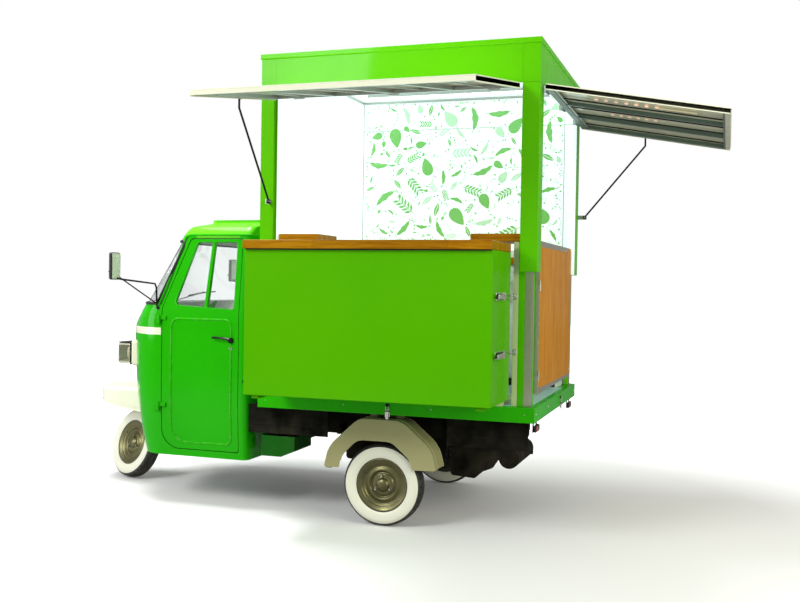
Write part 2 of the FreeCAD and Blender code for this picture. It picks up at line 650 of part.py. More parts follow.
def make_rear_fittings(parts):
    """Tail lamps on their brackets and a blank plate holder, hung under the sill."""
    inner = BODY_HALF - LAMP_BRACKET_INSET - LAMP_BRACKET_WIDTH
    outer = BODY_HALF - LAMP_BRACKET_INSET
    bracket = box(TAIL_PLANE, TAIL_PLANE + 24, inner, outer, LAMP_BRACKET_BOTTOM, SILL_BOTTOM)
    lamp = box(TAIL_PLANE - LAMP_THICK, TAIL_PLANE, inner + LAMP_BORDER, outer - LAMP_BORDER,
               LAMP_BRACKET_BOTTOM + 30, SILL_BOTTOM - 25)
    parts["tail_lamps"] = both_sides(lamp)
    holder = box(TAIL_PLANE, TAIL_PLANE + 12, -PLATE_HOLDER_HALF, PLATE_HOLDER_HALF, 500, SILL_BOTTOM)
    for y in (-PLATE_HOLES / 2, PLATE_HOLES / 2):
        holder = holder.cut(rod(V(TAIL_PLANE - 10, y, PLATE_HEIGHT), V(TAIL_PLANE + 20, y, PLATE_HEIGHT),
                                PLATE_HOLE_RADIUS))
    parts["rear_brackets"] = group([bracket, mirrored(bracket), holder])


# ---------------------------------------------------------------- raised upper shell
def make_shell(parts):
    """Roof, fascia, corner posts, front wall and right wall, which slide up and down together."""
    half = BODY_HALF + ROOF_LIP
    cap = box(BODY_REAR - ROOF_LIP, BODY_FRONT + ROOF_LIP, -half, half, CEILING, ROOF_TOP)
    ring = box(BODY_REAR, BODY_FRONT, -BODY_HALF, BODY_HALF, FASCIA_BOTTOM, CEILING)
    room = box(BODY_REAR + SHELL_SKIN, SHELL_WALL_BACK, -SHELL_INNER_HALF, SHELL_INNER_HALF,
               FASCIA_BOTTOM - 1, CEILING)
    parts["roof_panel"] = union([cap, ring.cut(room)])
    posts = [box(BODY_FRONT - FRONT_POST_SIDE, BODY_FRONT, SHELL_INNER_HALF, BODY_HALF,
                 SHELL_BOTTOM, FASCIA_BOTTOM)]
    for side in (-1, 1):
        y_out = side * BODY_HALF
        y_back = side * (BODY_HALF - REAR_POST_BACK)
        posts.append(union([
            box(BODY_REAR, BODY_REAR + REAR_POST_SIDE, y_out, side * SHELL_INNER_HALF,
                SHELL_BOTTOM, FASCIA_BOTTOM),
            box(BODY_REAR, BODY_REAR + SHELL_SKIN, y_out, y_back, SHELL_BOTTOM, FASCIA_BOTTOM),
        ]))
    parts["shell_posts"] = group(posts)
    parts["shell_walls"] = union([
        box(SHELL_WALL_BACK, BODY_FRONT, -BODY_HALF, SHELL_INNER_HALF, SHELL_BOTTOM, FASCIA_BOTTOM),
        box(BODY_REAR + REAR_POST_SIDE, SHELL_WALL_BACK, -BODY_HALF, -SHELL_INNER_HALF,
            SHELL_BOTTOM, FASCIA_BOTTOM),
    ])


# ---------------------------------------------------------------- awnings and stays
def side_box(x0, x1, d0, d1, h0, h1):
    """Block of the side awning while it hangs shut: along X, out from the hinge line, and up."""
    return box(x0, x1, SIDE_HINGE.y + d0, SIDE_HINGE.y + d1, SIDE_HINGE.z + h0, SIDE_HINGE.z + h1)


def rear_box(y0, y1, d0, d1, h0, h1):
    """Block of the rear awning while it hangs shut: along Y, out from the hinge line, and up."""
    return box(REAR_HINGE.x - d1, REAR_HINGE.x - d0, y0, y1, REAR_HINGE.z + h0, REAR_HINGE.z + h1)


def side_rod(x0, x1, radius):
    """Round bar on the side awning's hinge line."""
    return rod(V(x0, SIDE_HINGE.y, SIDE_HINGE.z), V(x1, SIDE_HINGE.y, SIDE_HINGE.z), radius)


def rear_rod(y0, y1, radius):
    """Round bar on the rear awning's hinge line."""
    return rod(V(REAR_HINGE.x, y0, REAR_HINGE.z), V(REAR_HINGE.x, y1, REAR_HINGE.z), radius)


def hinge_stations(low, high):
    """Three places along a hinge line, one in the middle and two near the ends."""
    margin = (high - low) * 0.1
    return (low + margin, (low + high) / 2, high - margin)


def hinge_block(place, make_box, make_rod):
    """Middle knuckle with its pin, on a block under the fascia."""
    reach = KNUCKLE_HALF + KNUCKLE_SIDE
    lift = FASCIA_BOTTOM - HINGE_HEIGHT
    return union([
        make_box(place - KNUCKLE_HALF, place + KNUCKLE_HALF, -SHELL_SKIN, 0, 0, lift),
        make_rod(place - KNUCKLE_HALF, place + KNUCKLE_HALF, KNUCKLE_RADIUS),
        make_rod(place - reach, place + reach, KNUCKLE_PIN),
    ])


def awning_frame(low, high, length, ribs, make_box, make_rod):
    """Border, cross ribs and outer knuckles of an awning that hangs shut."""
    deep = AWNING_THICK - AWNING_SKIN
    top = -AWNING_DROP
    bars = [
        make_box(low, high, 0, deep, top - AWNING_FRAME, top),
        make_box(low, high, 0, deep, -length, -length + AWNING_FRAME),
        make_box(low, low + AWNING_FRAME, 0, deep, -length, top),
        make_box(high - AWNING_FRAME, high, 0, deep, -length, top),
    ]
    pitch = (high - low - AWNING_FRAME) / (ribs + 1)
    for i in range(1, ribs + 1):
        start = low + pitch * i
        bars.append(make_box(start, start + AWNING_RIB, 0, deep, -length, top))
    bores = []
    for place in hinge_stations(low, high):
        reach = KNUCKLE_HALF + KNUCKLE_SIDE
        inner = KNUCKLE_HALF + SEAT_GAP
        for start, end in ((place - reach, place - inner), (place + inner, place + reach)):
            bars.append(make_box(start, end, 0, KNUCKLE_RADIUS, top - 4, 0))
            bars.append(make_rod(start, end, KNUCKLE_RADIUS))
        bores.append(make_rod(place - reach - 1, place + reach + 1, KNUCKLE_PIN + RUNNING_CLEARANCE))
    return union(bars).cut(group(bores))


def make_awnings(parts):
    """Side and rear awnings: each is made hanging shut, then swung to its open angle."""
    skin = AWNING_THICK - AWNING_SKIN
    low, high = SIDE_AWNING_REAR, SIDE_AWNING_FRONT
    frame = awning_frame(low, high, SIDE_AWNING_LENGTH, SIDE_AWNING_RIBS, side_box, side_rod)
    sheet = side_box(low, high, skin, AWNING_THICK, -SIDE_AWNING_LENGTH, -AWNING_DROP)
    angle = 90 - SIDE_AWNING_DROOP
    parts["side_awning_frame"] = turned(frame, SIDE_HINGE, X_AXIS, angle)
    parts["side_awning_skin"] = turned(sheet, SIDE_HINGE, X_AXIS, angle)
    blocks = [hinge_block(place, side_box, side_rod) for place in hinge_stations(low, high)]

    low, high = -REAR_AWNING_HALF, REAR_AWNING_HALF
    frame = awning_frame(low, high, REAR_AWNING_LENGTH, REAR_AWNING_RIBS, rear_box, rear_rod)
    sheet = rear_box(low, high, skin, AWNING_THICK, -REAR_AWNING_LENGTH, -AWNING_DROP)
    angle = 90 - REAR_AWNING_DROOP
    parts["rear_awning_frame"] = turned(frame, REAR_HINGE, Y_AXIS, angle)
    parts["rear_awning_skin"] = turned(sheet, REAR_HINGE, Y_AXIS, angle)
    blocks += [hinge_block(place, rear_box, rear_rod) for place in hinge_stations(low, high)]
    parts["shell_hinges"] = group(blocks + stay_brackets())


def stay(foot, lean_direction, tip_direction, across):
    """Prop stay: an eye on its foot pin, a leaning rod, an upright end and a tip to the awning."""
    bend = foot.add(lean_direction * STAY_LENGTH)
    top = bend.add(V(0, 0, STAY_END))
    tip = top.add(tip_direction * STAY_TIP)
    arm = union([
        rod(foot.sub(across * 9), foot.add(across * 9), STAY_EYE),
        rod(foot, bend, STAY_RADIUS),
        Part.makeSphere(STAY_RADIUS, bend),
        rod(bend, top, STAY_RADIUS),
        Part.makeSphere(STAY_RADIUS, top),
        rod(top, tip, STAY_RADIUS),
    ])
    return arm.cut(rod(foot.sub(across * 20), foot.add(across * 20), STAY_PIN + RUNNING_CLEARANCE))


def stay_brackets():
    """Foot brackets of the two stays, on the shell's posts."""
    foot = SIDE_STAY_FOOT
    side = union([
        box(foot.x + 11, foot.x + 17, BODY_HALF, foot.y + STAY_EYE, foot.z - 14, foot.z + 14),
        rod(foot.add(V(-10, 0, 0)), foot.add(V(14, 0, 0)), STAY_PIN),
    ])
    foot = REAR_STAY_FOOT
    rear = union([
        box(foot.x - STAY_EYE, BODY_REAR, foot.y - 17, foot.y - 11, foot.z - 14, foot.z + 14),
        rod(foot.add(V(0, -14, 0)), foot.add(V(0, 10, 0)), STAY_PIN),
    ])
    return [side, rear]


def make_stays(parts):
    """The two prop stays at their open angle."""
    lean = math.radians(SIDE_STAY_LEAN)
    parts["side_stay"] = stay(SIDE_STAY_FOOT, V(0, math.sin(lean), math.cos(lean)), V(-1, 0, 0), X_AXIS)
    lean = math.radians(REAR_STAY_LEAN)
    parts["rear_stay"] = stay(REAR_STAY_FOOT, V(-math.sin(lean), 0, math.cos(lean)), V(0, 1, 0), Y_AXIS)


# ---------------------------------------------------------------- counter
def make_counter(parts):
    """Slide-out counter box with its wooden top and the runners that carry it."""
    outer = box(COUNTER_REAR, COUNTER_FRONT, COUNTER_BACK, COUNTER_FACE, COUNTER_BOTTOM, WOOD_BOTTOM)
    inner = box(COUNTER_REAR + COUNTER_WALL, COUNTER_FRONT - COUNTER_WALL, COUNTER_BACK - 1,
                COUNTER_FACE - COUNTER_WALL, COUNTER_BOTTOM + COUNTER_WALL, WOOD_BOTTOM - COUNTER_WALL)
    parts["counter_box"] = outer.cut(inner)
    parts["counter_top"] = box(COUNTER_REAR, COUNTER_FRONT, COUNTER_BACK, COUNTER_FACE + COUNTER_OVERHANG,
                               WOOD_BOTTOM, COUNTER_TOP)
    middle = (SILL_TOP + COUNTER_BOTTOM) / 2
    fixed, moving = [], []
    for x in (COUNTER_REAR + RUNNER_INSET, COUNTER_FRONT - RUNNER_INSET - RUNNER_WIDTH):
        fixed.append(box(x, x + RUNNER_WIDTH, CABINET_FACE + 60, BODY_HALF, SILL_TOP, middle))
        moving.append(box(x, x + RUNNER_WIDTH, COUNTER_BACK - RUNNER_TAIL, COUNTER_FACE - 25,
                          middle + SEAT_GAP, COUNTER_BOTTOM))
    parts["counter_runners_fixed"] = group(fixed)
    parts["counter_runners"] = group(moving)


# ---------------------------------------------------------------- rear door
def make_rear_door(parts):
    """Lower half door at the back: an aluminium frame round a wooden panel, on two hinges."""
    x0, x1 = REAR_DOOR_REAR, REAR_DOOR_REAR + REAR_DOOR_THICK
    half, inner = REAR_DOOR_HALF, REAR_DOOR_HALF - REAR_DOOR_STILE
    low, high = REAR_DOOR_BOTTOM + REAR_DOOR_STILE, REAR_DOOR_TOP - REAR_DOOR_STILE
    frame = box(x0, x1, -half, half, REAR_DOOR_BOTTOM, REAR_DOOR_TOP)
    frame = frame.cut(box(x0 - 1, x1 + 1, -inner, inner, low, high))
    strap_end = REAR_DOOR_PIN.y - REAR_STRAP_LENGTH
    hinges = []
    for height in REAR_HINGE_HEIGHTS:
        pin = V(REAR_DOOR_PIN.x, REAR_DOOR_PIN.y, height)
        high_end = pin.add(V(0, 0, 28))
        knuckle = union([
            rod(pin.add(V(0, 0, SEAT_GAP)), high_end, KNUCKLE_RADIUS),
            box(x0 - 5, x0 + 1, strap_end, pin.y, height + SEAT_GAP, high_end.z),
        ])
        clear = box(x0 - 6, x0 + 8, pin.y - 1.5 * KNUCKLE_RADIUS, half + 1, height - 30, height)
        frame = union([frame.cut(clear), knuckle])
        frame = frame.cut(rod(pin, high_end.add(V(0, 0, 2)), KNUCKLE_PIN + RUNNING_CLEARANCE))
        hinges.append(union([
            rod(pin.sub(V(0, 0, 28)), pin, KNUCKLE_RADIUS),
            rod(pin.sub(V(0, 0, 5)), high_end, KNUCKLE_PIN),
            box(pin.x, FIXED_REAR + JAMB_DEPTH, DOOR_JAMB - REAR_HINGE_PLATE, DOOR_JAMB, height - 28, height),
        ]))
    parts["rear_door_frame"] = frame
    parts["rear_door_panel"] = box(x0 + REAR_PANEL_INSET, x1 - REAR_PANEL_INSET, -inner, inner, low, high)
    parts["rear_door_hinges"] = group(hinges)


# ---------------------------------------------------------------- cab
def cab_section(height, half, start, nose, corner, inset):
    """Plan outline of the cab at one height: a straight back, straight sides and a three-arc front."""
    rear = CAB_REAR + inset
    start += CAB_REAR
    half -= inset
    nose -= inset
    corner = max(corner - inset, 20.0)
    centre_back = ((half - corner) ** 2 - (nose - corner) ** 2) / (2 * (nose - corner))
    big = centre_back + nose
    turn = math.atan2(half - corner, centre_back)
    joint = V(start - centre_back + big * math.cos(turn), big * math.sin(turn), height)
    mid_turn = (math.pi / 2 + turn) / 2
    mid = V(start + corner * math.cos(mid_turn), half - corner + corner * math.sin(mid_turn), height)
    left = V(start, half, height)
    right = V(start, -half, height)
    return Part.Wire([
        Part.LineSegment(V(rear, -half, height), right).toShape(),
        Part.Arc(right, V(mid.x, -mid.y, height), V(joint.x, -joint.y, height)).toShape(),
        Part.Arc(V(joint.x, -joint.y, height), V(start + nose, 0, height), joint).toShape(),
        Part.Arc(joint, mid, left).toShape(),
        Part.LineSegment(left, V(rear, half, height)).toShape(),
        Part.LineSegment(V(rear, half, height), V(rear, -half, height)).toShape(),
    ])


def cab_body(inset, lowest=CAB_LOW, highest=CAB_HIGH):
    """Solid cab form, inset from the outside, between two heights."""
    levels = [height for height, _, _, _, _ in CAB_SECTIONS]
    levels[0], levels[-1] = lowest, highest
    wires = []
    for level, (_, half, start, nose, corner) in zip(levels, CAB_SECTIONS):
        wires.append(cab_section(min(max(level, lowest), highest), half, start, nose, corner, inset))
    return Part.makeLoft(wires, True, True)


def screen_lean():
    """How far the windscreen posts run back for each millimetre of height."""
    low, high = CAB_SECTIONS[4], CAB_SECTIONS[5]
    return (low[2] - high[2]) / (high[0] - low[0])


def door_outline(gap):
    """Outline of a cab door seen from the side, shrunk by a gap."""
    top_front = DOOR_FRONT - (DOOR_TOP - WAIST) * screen_lean() - 11
    return [
        (DOOR_REAR + gap, DOOR_BOTTOM + gap, 20),
        (DOOR_FRONT - gap, DOOR_BOTTOM + gap, 120),
        (DOOR_FRONT - gap, WAIST, 60),
        (top_front - gap, DOOR_TOP - gap, 30),
        (DOOR_REAR + gap, DOOR_TOP - gap, 20),
    ]


def window_outline(gap):
    """Outline of a door's window seen from the side, shrunk by a gap."""
    rear = DOOR_REAR + WINDOW_BORDER + gap
    top = DOOR_TOP - 22 - gap
    return [
        (rear, BELT + 8 + gap, 12),
        (DOOR_FRONT - 84 - gap, BELT + 30 + gap, 20),
        (DOOR_FRONT - 226 - gap, top, 24),
        (rear, top, 12),
    ]


def side_slab(inset, thick):
    """Flat leaning slab that lies within the cab's side above the waist, inset from its face."""
    low, high = [section for section in CAB_SECTIONS if section[0] in (WAIST, SHOULDER)]
    slope = (low[1] - high[1]) / (SHOULDER - WAIST)
    bottom, top = BELT, DOOR_TOP
    outer = [(height, low[1] - slope * (height - WAIST) - inset) for height in (bottom, top)]
    corners = [V(DOOR_REAR, y, z) for z, y in outer] + [V(DOOR_REAR, y - thick, z) for z, y in outer[::-1]]
    face = Part.Face(Part.makePolygon(corners + corners[:1]))
    return face.extrude(V(DOOR_FRONT - DOOR_REAR, 0, 0))


def head_clearance():
    """Space round the steering head that the cab is cut away for."""
    return rod(along_steering(HEAD_START - 60), along_steering(HEAD_END), HEAD_RADIUS + 4)


def wheel_arch(grow):
    """Block over the front wheel, grown on every side."""
    return box(ARCH_BACK - grow, ARCH_FRONT, -ARCH_HALF - grow, ARCH_HALF + grow, 0, ARCH_TOP + grow)


def make_cab_shell(parts, outside):
    """Hollow cab with its doorways, windscreen and rear window cut."""
    inside = cab_body(CAB_WALL, CAB_LOW - 1, CAB_HIGH - CAB_WALL)
    doorway = side_prism(door_outline(0), -CAB_HALF - 1, CAB_HALF + 1)
    middle_half = CAB_HALF - DOOR_DEPTH
    doorway = doorway.cut(box(0, ARCH_FRONT + CAB_HALF, -middle_half, middle_half, 0, ROOF_TOP))
    screen = box(CAB_REAR + 455, ARCH_FRONT, -SCREEN_HALF, SCREEN_HALF, SCREEN_BOTTOM, SCREEN_TOP)
    back_light = box(CAB_REAR - 1, CAB_REAR + CAB_WALL + 1, -BACK_LIGHT_HALF, BACK_LIGHT_HALF,
                     BACK_LIGHT_BOTTOM, BACK_LIGHT_TOP)
    tunnel = box(CAB_REAR - 1, CAB_REAR + CAB_WALL + 1, -TUNNEL_HALF, TUNNEL_HALF, 0, TUNNEL_TOP)
    shell = outside.cut(inside)
    for opening in (doorway, screen, back_light, head_clearance(), wheel_arch(0), tunnel):
        shell = shell.cut(opening)
    parts["cab_shell"] = shell
    depth = GLASS_INSET + GLASS
    skin = cab_body(GLASS_INSET).cut(cab_body(depth, CAB_LOW - 1, CAB_HIGH - depth))
    rear_pane = box(CAB_REAR + GLASS_INSET, CAB_REAR + depth, -BACK_LIGHT_HALF, BACK_LIGHT_HALF,
                    BACK_LIGHT_BOTTOM, BACK_LIGHT_TOP)
    parts["cab_glass"] = group([skin.common(screen), rear_pane])


def make_cab_inside(parts):
    """Floor with the arch over the front wheel, dashboard and bench seat."""
    room = cab_body(CAB_WALL + SEAT_GAP, CAB_LOW, CAB_HIGH - CAB_WALL)
    floor = room.common(box(CAB_REAR, ARCH_FRONT + CAB_HALF, -CAB_HALF, CAB_HALF, CAB_LOW, CAB_FLOOR_TOP))
    arch = room.common(wheel_arch(CAB_WALL))
    floor = union([floor, arch]).cut(wheel_arch(0))
    parts["cab_floor"] = floor.cut(backbone(BACKBONE_RADIUS + SEAT_GAP)).cut(head_clearance())
    parts["dashboard"] = room.common(box(CAB_REAR + DASH_REACH, ARCH_FRONT, -CAB_HALF, CAB_HALF,
                                         DASH_BOTTOM, DASH_TOP))
    back = CAB_REAR + CAB_WALL
    tunnel = box(CAB_REAR, BACKBONE_FOOT.x, -TUNNEL_HALF, TUNNEL_HALF, 0, TUNNEL_TOP)
    base = box(back, CAB_REAR + SEAT_BASE_REACH, 10 - SEAT_HALF, SEAT_HALF - 10, CAB_FLOOR_TOP, SEAT_BASE_TOP)
    parts["seat_base"] = base.cut(tunnel)
    parts["seat"] = group([
        box(back + BACKREST_THICK + 5, CAB_REAR + SEAT_BASE_REACH + 30, -SEAT_HALF, SEAT_HALF,
            SEAT_BASE_TOP + SEAT_GAP, CUSHION_TOP),
        box(back + SEAT_GAP, back + BACKREST_THICK, -SEAT_HALF, SEAT_HALF, SEAT_BASE_TOP + 10, BACKREST_TOP),
    ])


def make_cab_doors(parts, outside):
    """Hollow-windowed cab doors with their glass, and the fixed halves of their hinges."""
    inner_y = CAB_HALF - DOOR_DEPTH
    thick = outside.cut(cab_body(DOOR_THICK, CAB_LOW - 1, CAB_HIGH - DOOR_THICK))
    door = thick.common(side_prism(door_outline(PANEL_GAP), inner_y, BODY_HALF))
    bar_x = DOOR_REAR + WINDOW_BAR_REACH - DOOR_REAR_REACH
    bar = box(bar_x, bar_x + WINDOW_BAR, inner_y, BODY_HALF, BELT, DOOR_TOP)
    door = door.cut(side_prism(window_outline(0), inner_y, BODY_HALF).cut(bar))
    pane = side_slab(GLASS_INSET + 4, GLASS)
    wide_bar = box(bar_x - SEAT_GAP, bar_x + WINDOW_BAR + SEAT_GAP, inner_y, BODY_HALF, BELT, DOOR_TOP)
    glass = pane.common(side_prism(window_outline(SEAT_GAP), inner_y, BODY_HALF).cut(wide_bar))
    pins = []
    strap_rear = HINGE_X - 45
    for height in DOOR_HINGE_HEIGHTS:
        pin = V(HINGE_X, HINGE_Y, height)
        high = height + HINGE_HALF_LENGTH
        knuckle = union([
            rod(pin.add(V(0, 0, 1)), V(HINGE_X, HINGE_Y, high), HINGE_RADIUS),
            box(strap_rear, DOOR_FRONT - PANEL_GAP - 1, CAB_HALF - 9, HINGE_Y - 1, height + 1, high),
            box(strap_rear, HINGE_X, HINGE_Y - 6, HINGE_Y - 1, height + 1, high),
        ])
        bore = rod(pin, V(HINGE_X, HINGE_Y, high + 4), HINGE_PIN + RUNNING_CLEARANCE)
        door = union([door, knuckle]).cut(bore)
        pins.append(union([
            rod(pin.sub(V(0, 0, HINGE_HALF_LENGTH)), pin, HINGE_RADIUS),
            rod(pin.sub(V(0, 0, 10)), V(HINGE_X, HINGE_Y, high + 4), HINGE_PIN),
            box(HINGE_X, HINGE_X + 40, HINGE_Y - HINGE_STANDOFF, HINGE_Y - 4,
                height - HINGE_HALF_LENGTH, height - 1),
        ]).cut(outside))
    parts["door_left"] = door
    parts["door_right"] = mirrored(door)
    parts["door_glass_left"] = glass
    parts["door_glass_right"] = mirrored(glass)
    parts["door_hinges"] = group(pins + [mirrored(pin) for pin in pins])


def make_headlamps(parts, clear_form):
    """Headlamp pods with their lenses, cut to sit on the nose."""
    back = CAB_REAR + 885
    face = back + 95
    tip = face + 73
    low, high = LAMP_HEIGHT - 85, LAMP_HEIGHT + 85
    pod = side_prism([(back, low, 0), (face, low, 12), (face, high, 12), (back, high, 0)],
                     LAMP_Y - POD_HALF, LAMP_Y + POD_HALF)
    low, high = LAMP_HEIGHT - 72, LAMP_HEIGHT + 66
    lens = side_prism([(face, low, 0), (tip, low, 14), (tip, high, 14), (face, high, 0)],
                      LAMP_Y - LENS_HALF, LAMP_Y + LENS_HALF)
    parts["headlamp_pods"] = both_sides(pod.cut(clear_form))
    parts["headlamp_lenses"] = both_sides(lens.cut(clear_form))


def front_guard_form(inset):
    """Solid form of the front mudguard: straight sides, round front and a flat top."""
    reach = FRONT_GUARD_HALF - inset
    back = CAB_REAR + 795
    centre_x = WHEELBASE + FRONT_GUARD_REACH - FRONT_GUARD_HALF
    low = 300.0
    right, left = V(centre_x, -reach, low), V(centre_x, reach, low)
    wire = Part.Wire([
        Part.LineSegment(V(back, -reach, low), right).toShape(),
        Part.Arc(right, V(centre_x + reach, 0, low), left).toShape(),
        Part.LineSegment(left, V(back, reach, low)).toShape(),
        Part.LineSegment(V(back, reach, low), V(back, -reach, low)).toShape(),
    ])
    return Part.Face(wire).extrude(V(0, 0, FRONT_GUARD_TOP - inset - low))


def make_front_mudguard(parts, clear_form):
    """Visor-like mudguard on the cab's nose, open below a rising edge."""
    side = FRONT_GUARD_HALF + 10
    back = CAB_REAR + 795
    front = WHEELBASE + 2 * FRONT_GUARD_REACH
    edge = [(back, 0, 0), (front, 0, 0), (front, 548, 0), (CAB_REAR + 945, 440, 0), (back, 440, 0)]
    below = side_prism(edge, -side, side)
    guard = front_guard_form(0).cut(front_guard_form(SHEET)).cut(below).cut(clear_form)
    parts["front_mudguard"] = guard.cut(rod(FRONT_HUB, along_steering(HEAD_END), HEAD_RADIUS + 8))


def make_mirrors(parts, clear_form):
    """Mirrors on bent arms at the windscreen posts."""
    foot_x, foot_y, foot_z = CAB_REAR + 627, CAB_HALF + 2, 1215.0
    base = V(foot_x, foot_y, foot_z)
    top = V(foot_x, foot_y, foot_z + 165)
    elbow = MIRROR_HEAD.add(V(-22, -14, -70))
    arm = union([
        rod(base, top, 7),
        Part.makeSphere(7, top),
        rod(top, elbow, 6),
        Part.makeSphere(6, elbow),
        rod(base.add(V(0, 0, 30)), elbow, 5),
        rod(elbow, elbow.add(V(0, 0, 14)), 6),
        rod(base.add(V(0, 0, 6)), V(CAB_REAR + 595, CAB_HALF - 90, foot_z + 6), 9),
    ]).cut(clear_form)
    head = box(-15, 15, -48, 48, -95, 95)
    head.translate(MIRROR_HEAD.add(V(-6, 0, 39)))
    parts["mirrors"] = both_sides(union([arm, head]))


def make_cab(parts):
    """Everything on the cab."""
    outside = cab_body(0)
    clear_form = cab_body(-SEAT_GAP)
    make_cab_shell(parts, outside)
    make_cab_inside(parts)
    make_cab_doors(parts, outside)
    make_headlamps(parts, clear_form)
    make_front_mudguard(parts, clear_form)
    make_mirrors(parts, clear_form)


# ---------------------------------------------------------------- whole vehicle
MAKERS = (
    make_wheels, make_steering, make_chassis, make_running_gear, make_tank_and_battery, make_mudguards,
    make_body_base, make_slide_pads, make_interior, make_rear_fittings, make_shell, make_awnings,
    make_stays, make_counter, make_rear_door, make_cab,
)


def build_all():
    """Make every sub-part, by name, in the building frame."""
    parts = {}
    for make in MAKERS:
        make(parts)
    return parts


def origin_shift(parts):
    """Move from the rear axle's middle to the bottom centre of the whole vehicle's box."""
    whole = Part.makeCompound(list(parts.values())).optimalBoundingBox(False)
    return V(-whole.Center.x, -whole.Center.y, 0)


if __name__ == "__main__":
    os.makedirs("parts", exist_ok=True)
    made = build_all()
    shift = origin_shift(made)
    print("origin shift", shift)
    for name, shape in made.items():
        shape = shape.copy()
        shape.translate(shift)
        shape.exportStep("parts/" + name + ".step")
        print(name, len(shape.Solids), round(shape.Volume / 1e6, 2), shape.isValid())
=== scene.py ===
"""Looks of a three-wheeled food truck: raised shell, two awnings, slide-out counter, rounded cab.

Sizes are in metres. Meshes are shaped in the truck's own axes, +X forward, +Y to its left and +Z up,
from the point on the ground under the middle of the rear axle, and are then moved to the CAD frame.
"""
import json
import logging
import math
import random
from collections.abc import Callable, Iterable, Sequence
from dataclasses import dataclass, field
from enum import Enum

import bmesh
import bpy
from mathutils import Matrix, Vector

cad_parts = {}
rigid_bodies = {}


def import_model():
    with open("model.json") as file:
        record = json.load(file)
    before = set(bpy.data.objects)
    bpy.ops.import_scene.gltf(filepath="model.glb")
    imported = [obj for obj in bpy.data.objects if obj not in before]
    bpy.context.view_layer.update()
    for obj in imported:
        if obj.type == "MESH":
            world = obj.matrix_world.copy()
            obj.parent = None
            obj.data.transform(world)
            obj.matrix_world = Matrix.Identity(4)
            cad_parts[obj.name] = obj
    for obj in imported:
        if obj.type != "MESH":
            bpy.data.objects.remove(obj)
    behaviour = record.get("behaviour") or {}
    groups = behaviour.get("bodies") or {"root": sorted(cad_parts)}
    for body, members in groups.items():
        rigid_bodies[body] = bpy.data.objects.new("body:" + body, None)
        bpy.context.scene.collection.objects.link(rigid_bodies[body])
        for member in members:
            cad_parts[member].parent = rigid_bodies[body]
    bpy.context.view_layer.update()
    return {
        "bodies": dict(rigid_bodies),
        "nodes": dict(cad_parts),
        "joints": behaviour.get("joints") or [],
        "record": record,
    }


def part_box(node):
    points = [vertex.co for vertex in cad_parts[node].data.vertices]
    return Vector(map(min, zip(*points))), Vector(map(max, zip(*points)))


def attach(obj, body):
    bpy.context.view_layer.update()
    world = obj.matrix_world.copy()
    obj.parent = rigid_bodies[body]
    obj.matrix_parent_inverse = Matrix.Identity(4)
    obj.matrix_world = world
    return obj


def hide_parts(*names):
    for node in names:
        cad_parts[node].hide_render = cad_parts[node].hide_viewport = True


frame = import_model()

logging.basicConfig(level=logging.INFO, format="%(message)s")
log = logging.getLogger("food_truck")

Colour = tuple[float, float, float]
Corner = tuple[float, float, float]
Socket = bpy.types.NodeSocket
Value = Socket | float | Colour
Place = Sequence[float]

X_AXIS = Vector((1.0, 0.0, 0.0))
Y_AXIS = Vector((0.0, 1.0, 0.0))
Z_AXIS = Vector((0.0, 0.0, 1.0))
SIDES = (1, -1)
# Planes and axes that several groups share, in metres.
BOX_HALF = 0.735
BOX_REAR = -0.885
BOX_FRONT = 0.783
SILL_UNDER = 0.65
CAB_TOP = 1.786
STEER_RAKE = math.radians(34.0)
STEER_AXIS = Vector((-math.sin(STEER_RAKE), 0.0, math.cos(STEER_RAKE)))
FRONT_HUB = Vector((2.1, 0.0, 0.238))
SCREW = 0.0032


def axle_middle() -> Vector:
    """Find the ground point under the rear axle's middle, in the CAD frame."""
    left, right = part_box("tyre_left"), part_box("tyre_right")
    middle = (left[0] + left[1] + right[0] + right[1]) / 4
    return Vector((middle.x, middle.y, 0.0))


ORIGIN = axle_middle()


def spun(degrees: float, axis: str | Vector) -> Matrix:
    """Turn about an axis through the origin."""
    return Matrix.Rotation(math.radians(degrees), 4, axis)


def in_scene(name: str, data: bpy.types.ID) -> bpy.types.Object:
    """Put new data in the scene as an object at the origin."""
    item = bpy.data.objects.new(name, data)
    bpy.context.scene.collection.objects.link(item)
    return item


class Body(Enum):
    """The CAD bodies that pieces ride on."""

    CHASSIS = "chassis"
    SHELL = "shell"
    SIDE_AWNING = "side_awning"
    REAR_AWNING = "rear_awning"
    SIDE_STAY = "side_stay"
    REAR_STAY = "rear_stay"
    COUNTER = "counter"
    REAR_DOOR = "rear_door"
    DOOR_LEFT = "door_left"
    DOOR_RIGHT = "door_right"
    FORK = "fork"
    WHEEL_FRONT = "wheel_front"
    WHEEL_LEFT = "wheel_left"
    WHEEL_RIGHT = "wheel_right"


class Cut(Enum):
    """Ways to combine two solids."""

    AWAY = "DIFFERENCE"
    COMMON = "INTERSECT"


